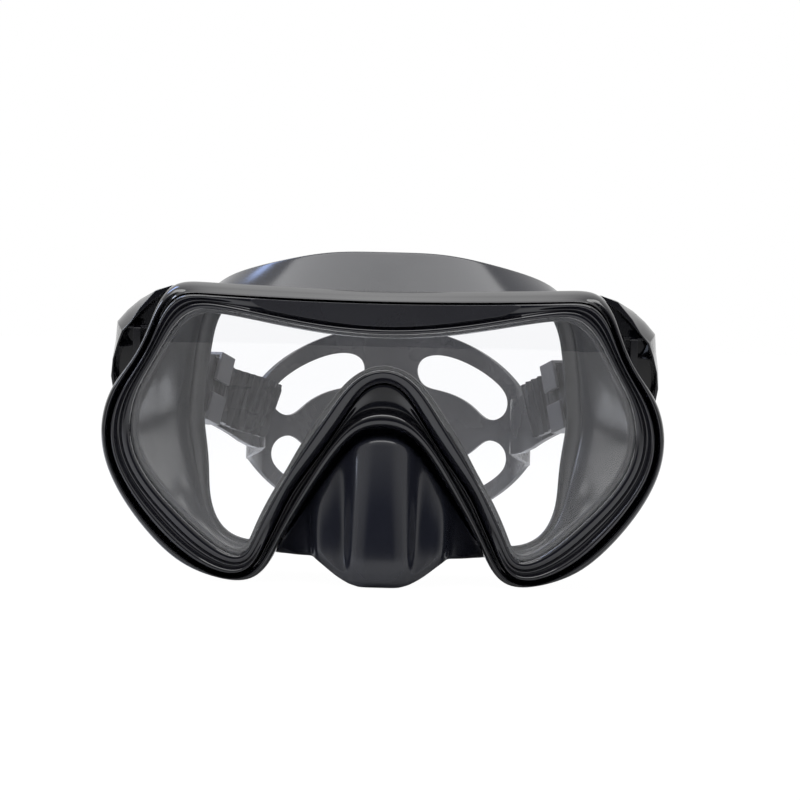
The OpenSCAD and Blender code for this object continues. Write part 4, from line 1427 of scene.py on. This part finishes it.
@dataclass
class Studio:
    """The pale floor and backdrop, the soft light and the camera.

    Attributes:
        distance: From the camera to its target, in metres.
        azimuth: Camera's turn to the right, in degrees.
        elevation: Camera's height angle, in degrees.
        roll: Camera's roll, in degrees.
        target: The layout point at the middle of the picture, in mm.
        focal_pixels: Focal length in pixels of the picture.
        sensor: Width of the camera's sensor, in mm.
        room: Strength of the white room round the mask.
        front_tone: Colour of the dark front wall that gloss and glass mirror.
        floor_tone: The floor's own colour, which takes the shadow.
        floor_white: Strength of the white that the floor shows the camera.
        floor_share: How much of that white it shows.
    """

    distance: float = 0.7
    azimuth: float = 0.4
    elevation: float = 2.4
    roll: float = 1.4
    target: Triple = (5.1, 0.0, 57.0)
    focal_pixels: float = 2283.0
    sensor: float = 36.0
    room: float = 0.85
    front_tone: Colour = (0.05, 0.055, 0.075)
    floor_tone: Colour = (0.82, 0.82, 0.82)
    floor_white: float = 1.04
    floor_share: float = 0.95

    def place_camera(self) -> None:
        """Makes the camera at the picture's angle."""
        a, e = math.radians(self.azimuth), math.radians(self.elevation)
        back = Vector((math.sin(a) * math.cos(e), -math.cos(a) * math.cos(e), math.sin(e)))
        lens = bpy.data.cameras.new("camera")
        lens.sensor_width = self.sensor
        lens.lens = self.focal_pixels / IMAGE_SIZE * self.sensor
        lens.clip_start = 0.01
        lens.clip_end = 50
        camera = bpy.data.objects.new("camera", lens)
        camera.location = spot(*self.target) + back * self.distance
        camera.rotation_mode = "QUATERNION"
        level = (-back).to_track_quat("-Z", "Y")
        camera.rotation_quaternion = level @ Quaternion((0, 0, 1), math.radians(self.roll))
        bpy.context.collection.objects.link(camera)
        bpy.context.scene.camera = camera

    def light(self) -> None:
        """Surrounds the mask with white, a dark front wall and soft lamps above and to the left."""
        world = bpy.data.worlds.new("studio")
        bpy.context.scene.world = world
        world.use_nodes = True
        sheet = NodeSheet(world.node_tree)
        shown = sheet.tree.nodes["Background"]
        shown.inputs["Color"].default_value = (1, 1, 1, 1)
        room = sheet.add("ShaderNodeBackground", {"Strength": self.room})
        direction = sheet.add("ShaderNodeSeparateXYZ")
        sheet.join(sheet.add("ShaderNodeTexCoord").outputs["Generated"], direction.inputs[0])
        tone = sheet.add("ShaderNodeMix", data_type="RGBA")
        tone.inputs["A"].default_value = (1, 1, 1, 1)
        tone.inputs["B"].default_value = (*self.front_tone, 1)
        sheet.join(sheet.ramp(direction.outputs["Y"], -0.45, -0.85, 0, 1), tone.inputs["Factor"])
        sheet.join(tone.outputs["Result"], room.inputs["Color"])
        sheet.end_in_mix(sheet.directly_seen(), room, shown, "World Output")
        self.lamp("overhead", (0.0, -0.1, 0.75), (0.0, 0.0, 0.03), (0.7, 0.5), 4.0, (1, 1, 1))
        self.lamp("left_window", (-0.55, -0.05, 0.42), (0.0, -0.04, 0.06), (0.14, 0.3), 1.6,
                  (0.72, 0.8, 1))
        self.lamp("sky_window", (-0.3, 0.28, 0.52), (-0.045, -0.065, 0.097), (0.2, 0.08), 0.3,
                  (0.4, 0.55, 1))

    @staticmethod
    def lamp(name: str, place: Triple, aim: Triple, size: Pair, power: float, colour: Colour) -> None:
        """Makes a soft rectangular lamp.

        Args:
            name: Its name.
            place: Where it stands, in metres.
            aim: The point it faces.
            size: Its width and height in metres.
            power: Its power in watts.
            colour: Its colour.
        """
        lamp = bpy.data.lights.new(name, "AREA")
        lamp.shape = "RECTANGLE"
        lamp.size, lamp.size_y = size
        lamp.energy = power
        lamp.color = colour
        holder = bpy.data.objects.new(name, lamp)
        holder.location = place
        holder.rotation_mode = "QUATERNION"
        holder.rotation_quaternion = (Vector(aim) - Vector(place)).to_track_quat("-Z", "Y")
        bpy.context.collection.objects.link(holder)

    def lay_floor(self) -> None:
        """Lays the pale floor, which shows white and keeps a faint shadow."""
        bm = bmesh.new()
        bmesh.ops.create_circle(bm, cap_ends=True, radius=4, segments=96)
        mesh = bpy.data.meshes.new("floor")
        bm.to_mesh(mesh)
        bm.free()
        floor = bpy.data.objects.new("floor", mesh)
        floor.location = (0, 0, -0.0002)
        bpy.context.collection.objects.link(floor)
        material, sheet, shader = fresh_material("pale_floor", Base_Color=(*self.floor_tone, 1),
                                                 Roughness=0.9)
        white = sheet.add("ShaderNodeEmission", {"Strength": self.floor_white})
        share = sheet.ramp(sheet.directly_seen(), 0, 1, 0, self.floor_share)
        sheet.end_in_mix(share, shader, white, "Material Output")
        mesh.materials.append(material)

    def build(self) -> None:
        """Builds the camera, the lights and the floor."""
        self.place_camera()
        self.light()
        self.lay_floor()
        bpy.context.scene.view_settings.view_transform = "Standard"


def dress_solids(finishes: Finishes) -> None:
    """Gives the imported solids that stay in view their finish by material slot."""
    by_slot = {"gloss_black": finishes.gloss, "gloss_black_bezel": finishes.bezel,
               "pane": finishes.pane, "satin_trim": finishes.satin, "silicone": finishes.skirt,
               "strap_silicone": finishes.strap, "buckle_plastic": finishes.gloss,
               "keeper_plastic": finishes.keeper, "steel": finishes.steel}
    slots = {row["node"]: row["material_slot"] for row in frame["record"]["subparts"]}
    for name, solid in frame["nodes"].items():
        solid.data.materials.clear()
        solid.data.materials.append(by_slot[slots[name]])


def main() -> None:
    """Builds the studio, the finishes and every sub-assembly; each piece logs its face count."""
    logging.basicConfig(level=logging.INFO)
    Studio().build()
    finishes = Finishes()
    dress_solids(finishes)
    Front().build(finishes)
    Skirt().build(finishes)
    Harness().build(finishes)


if __name__ == "__main__":
    main()
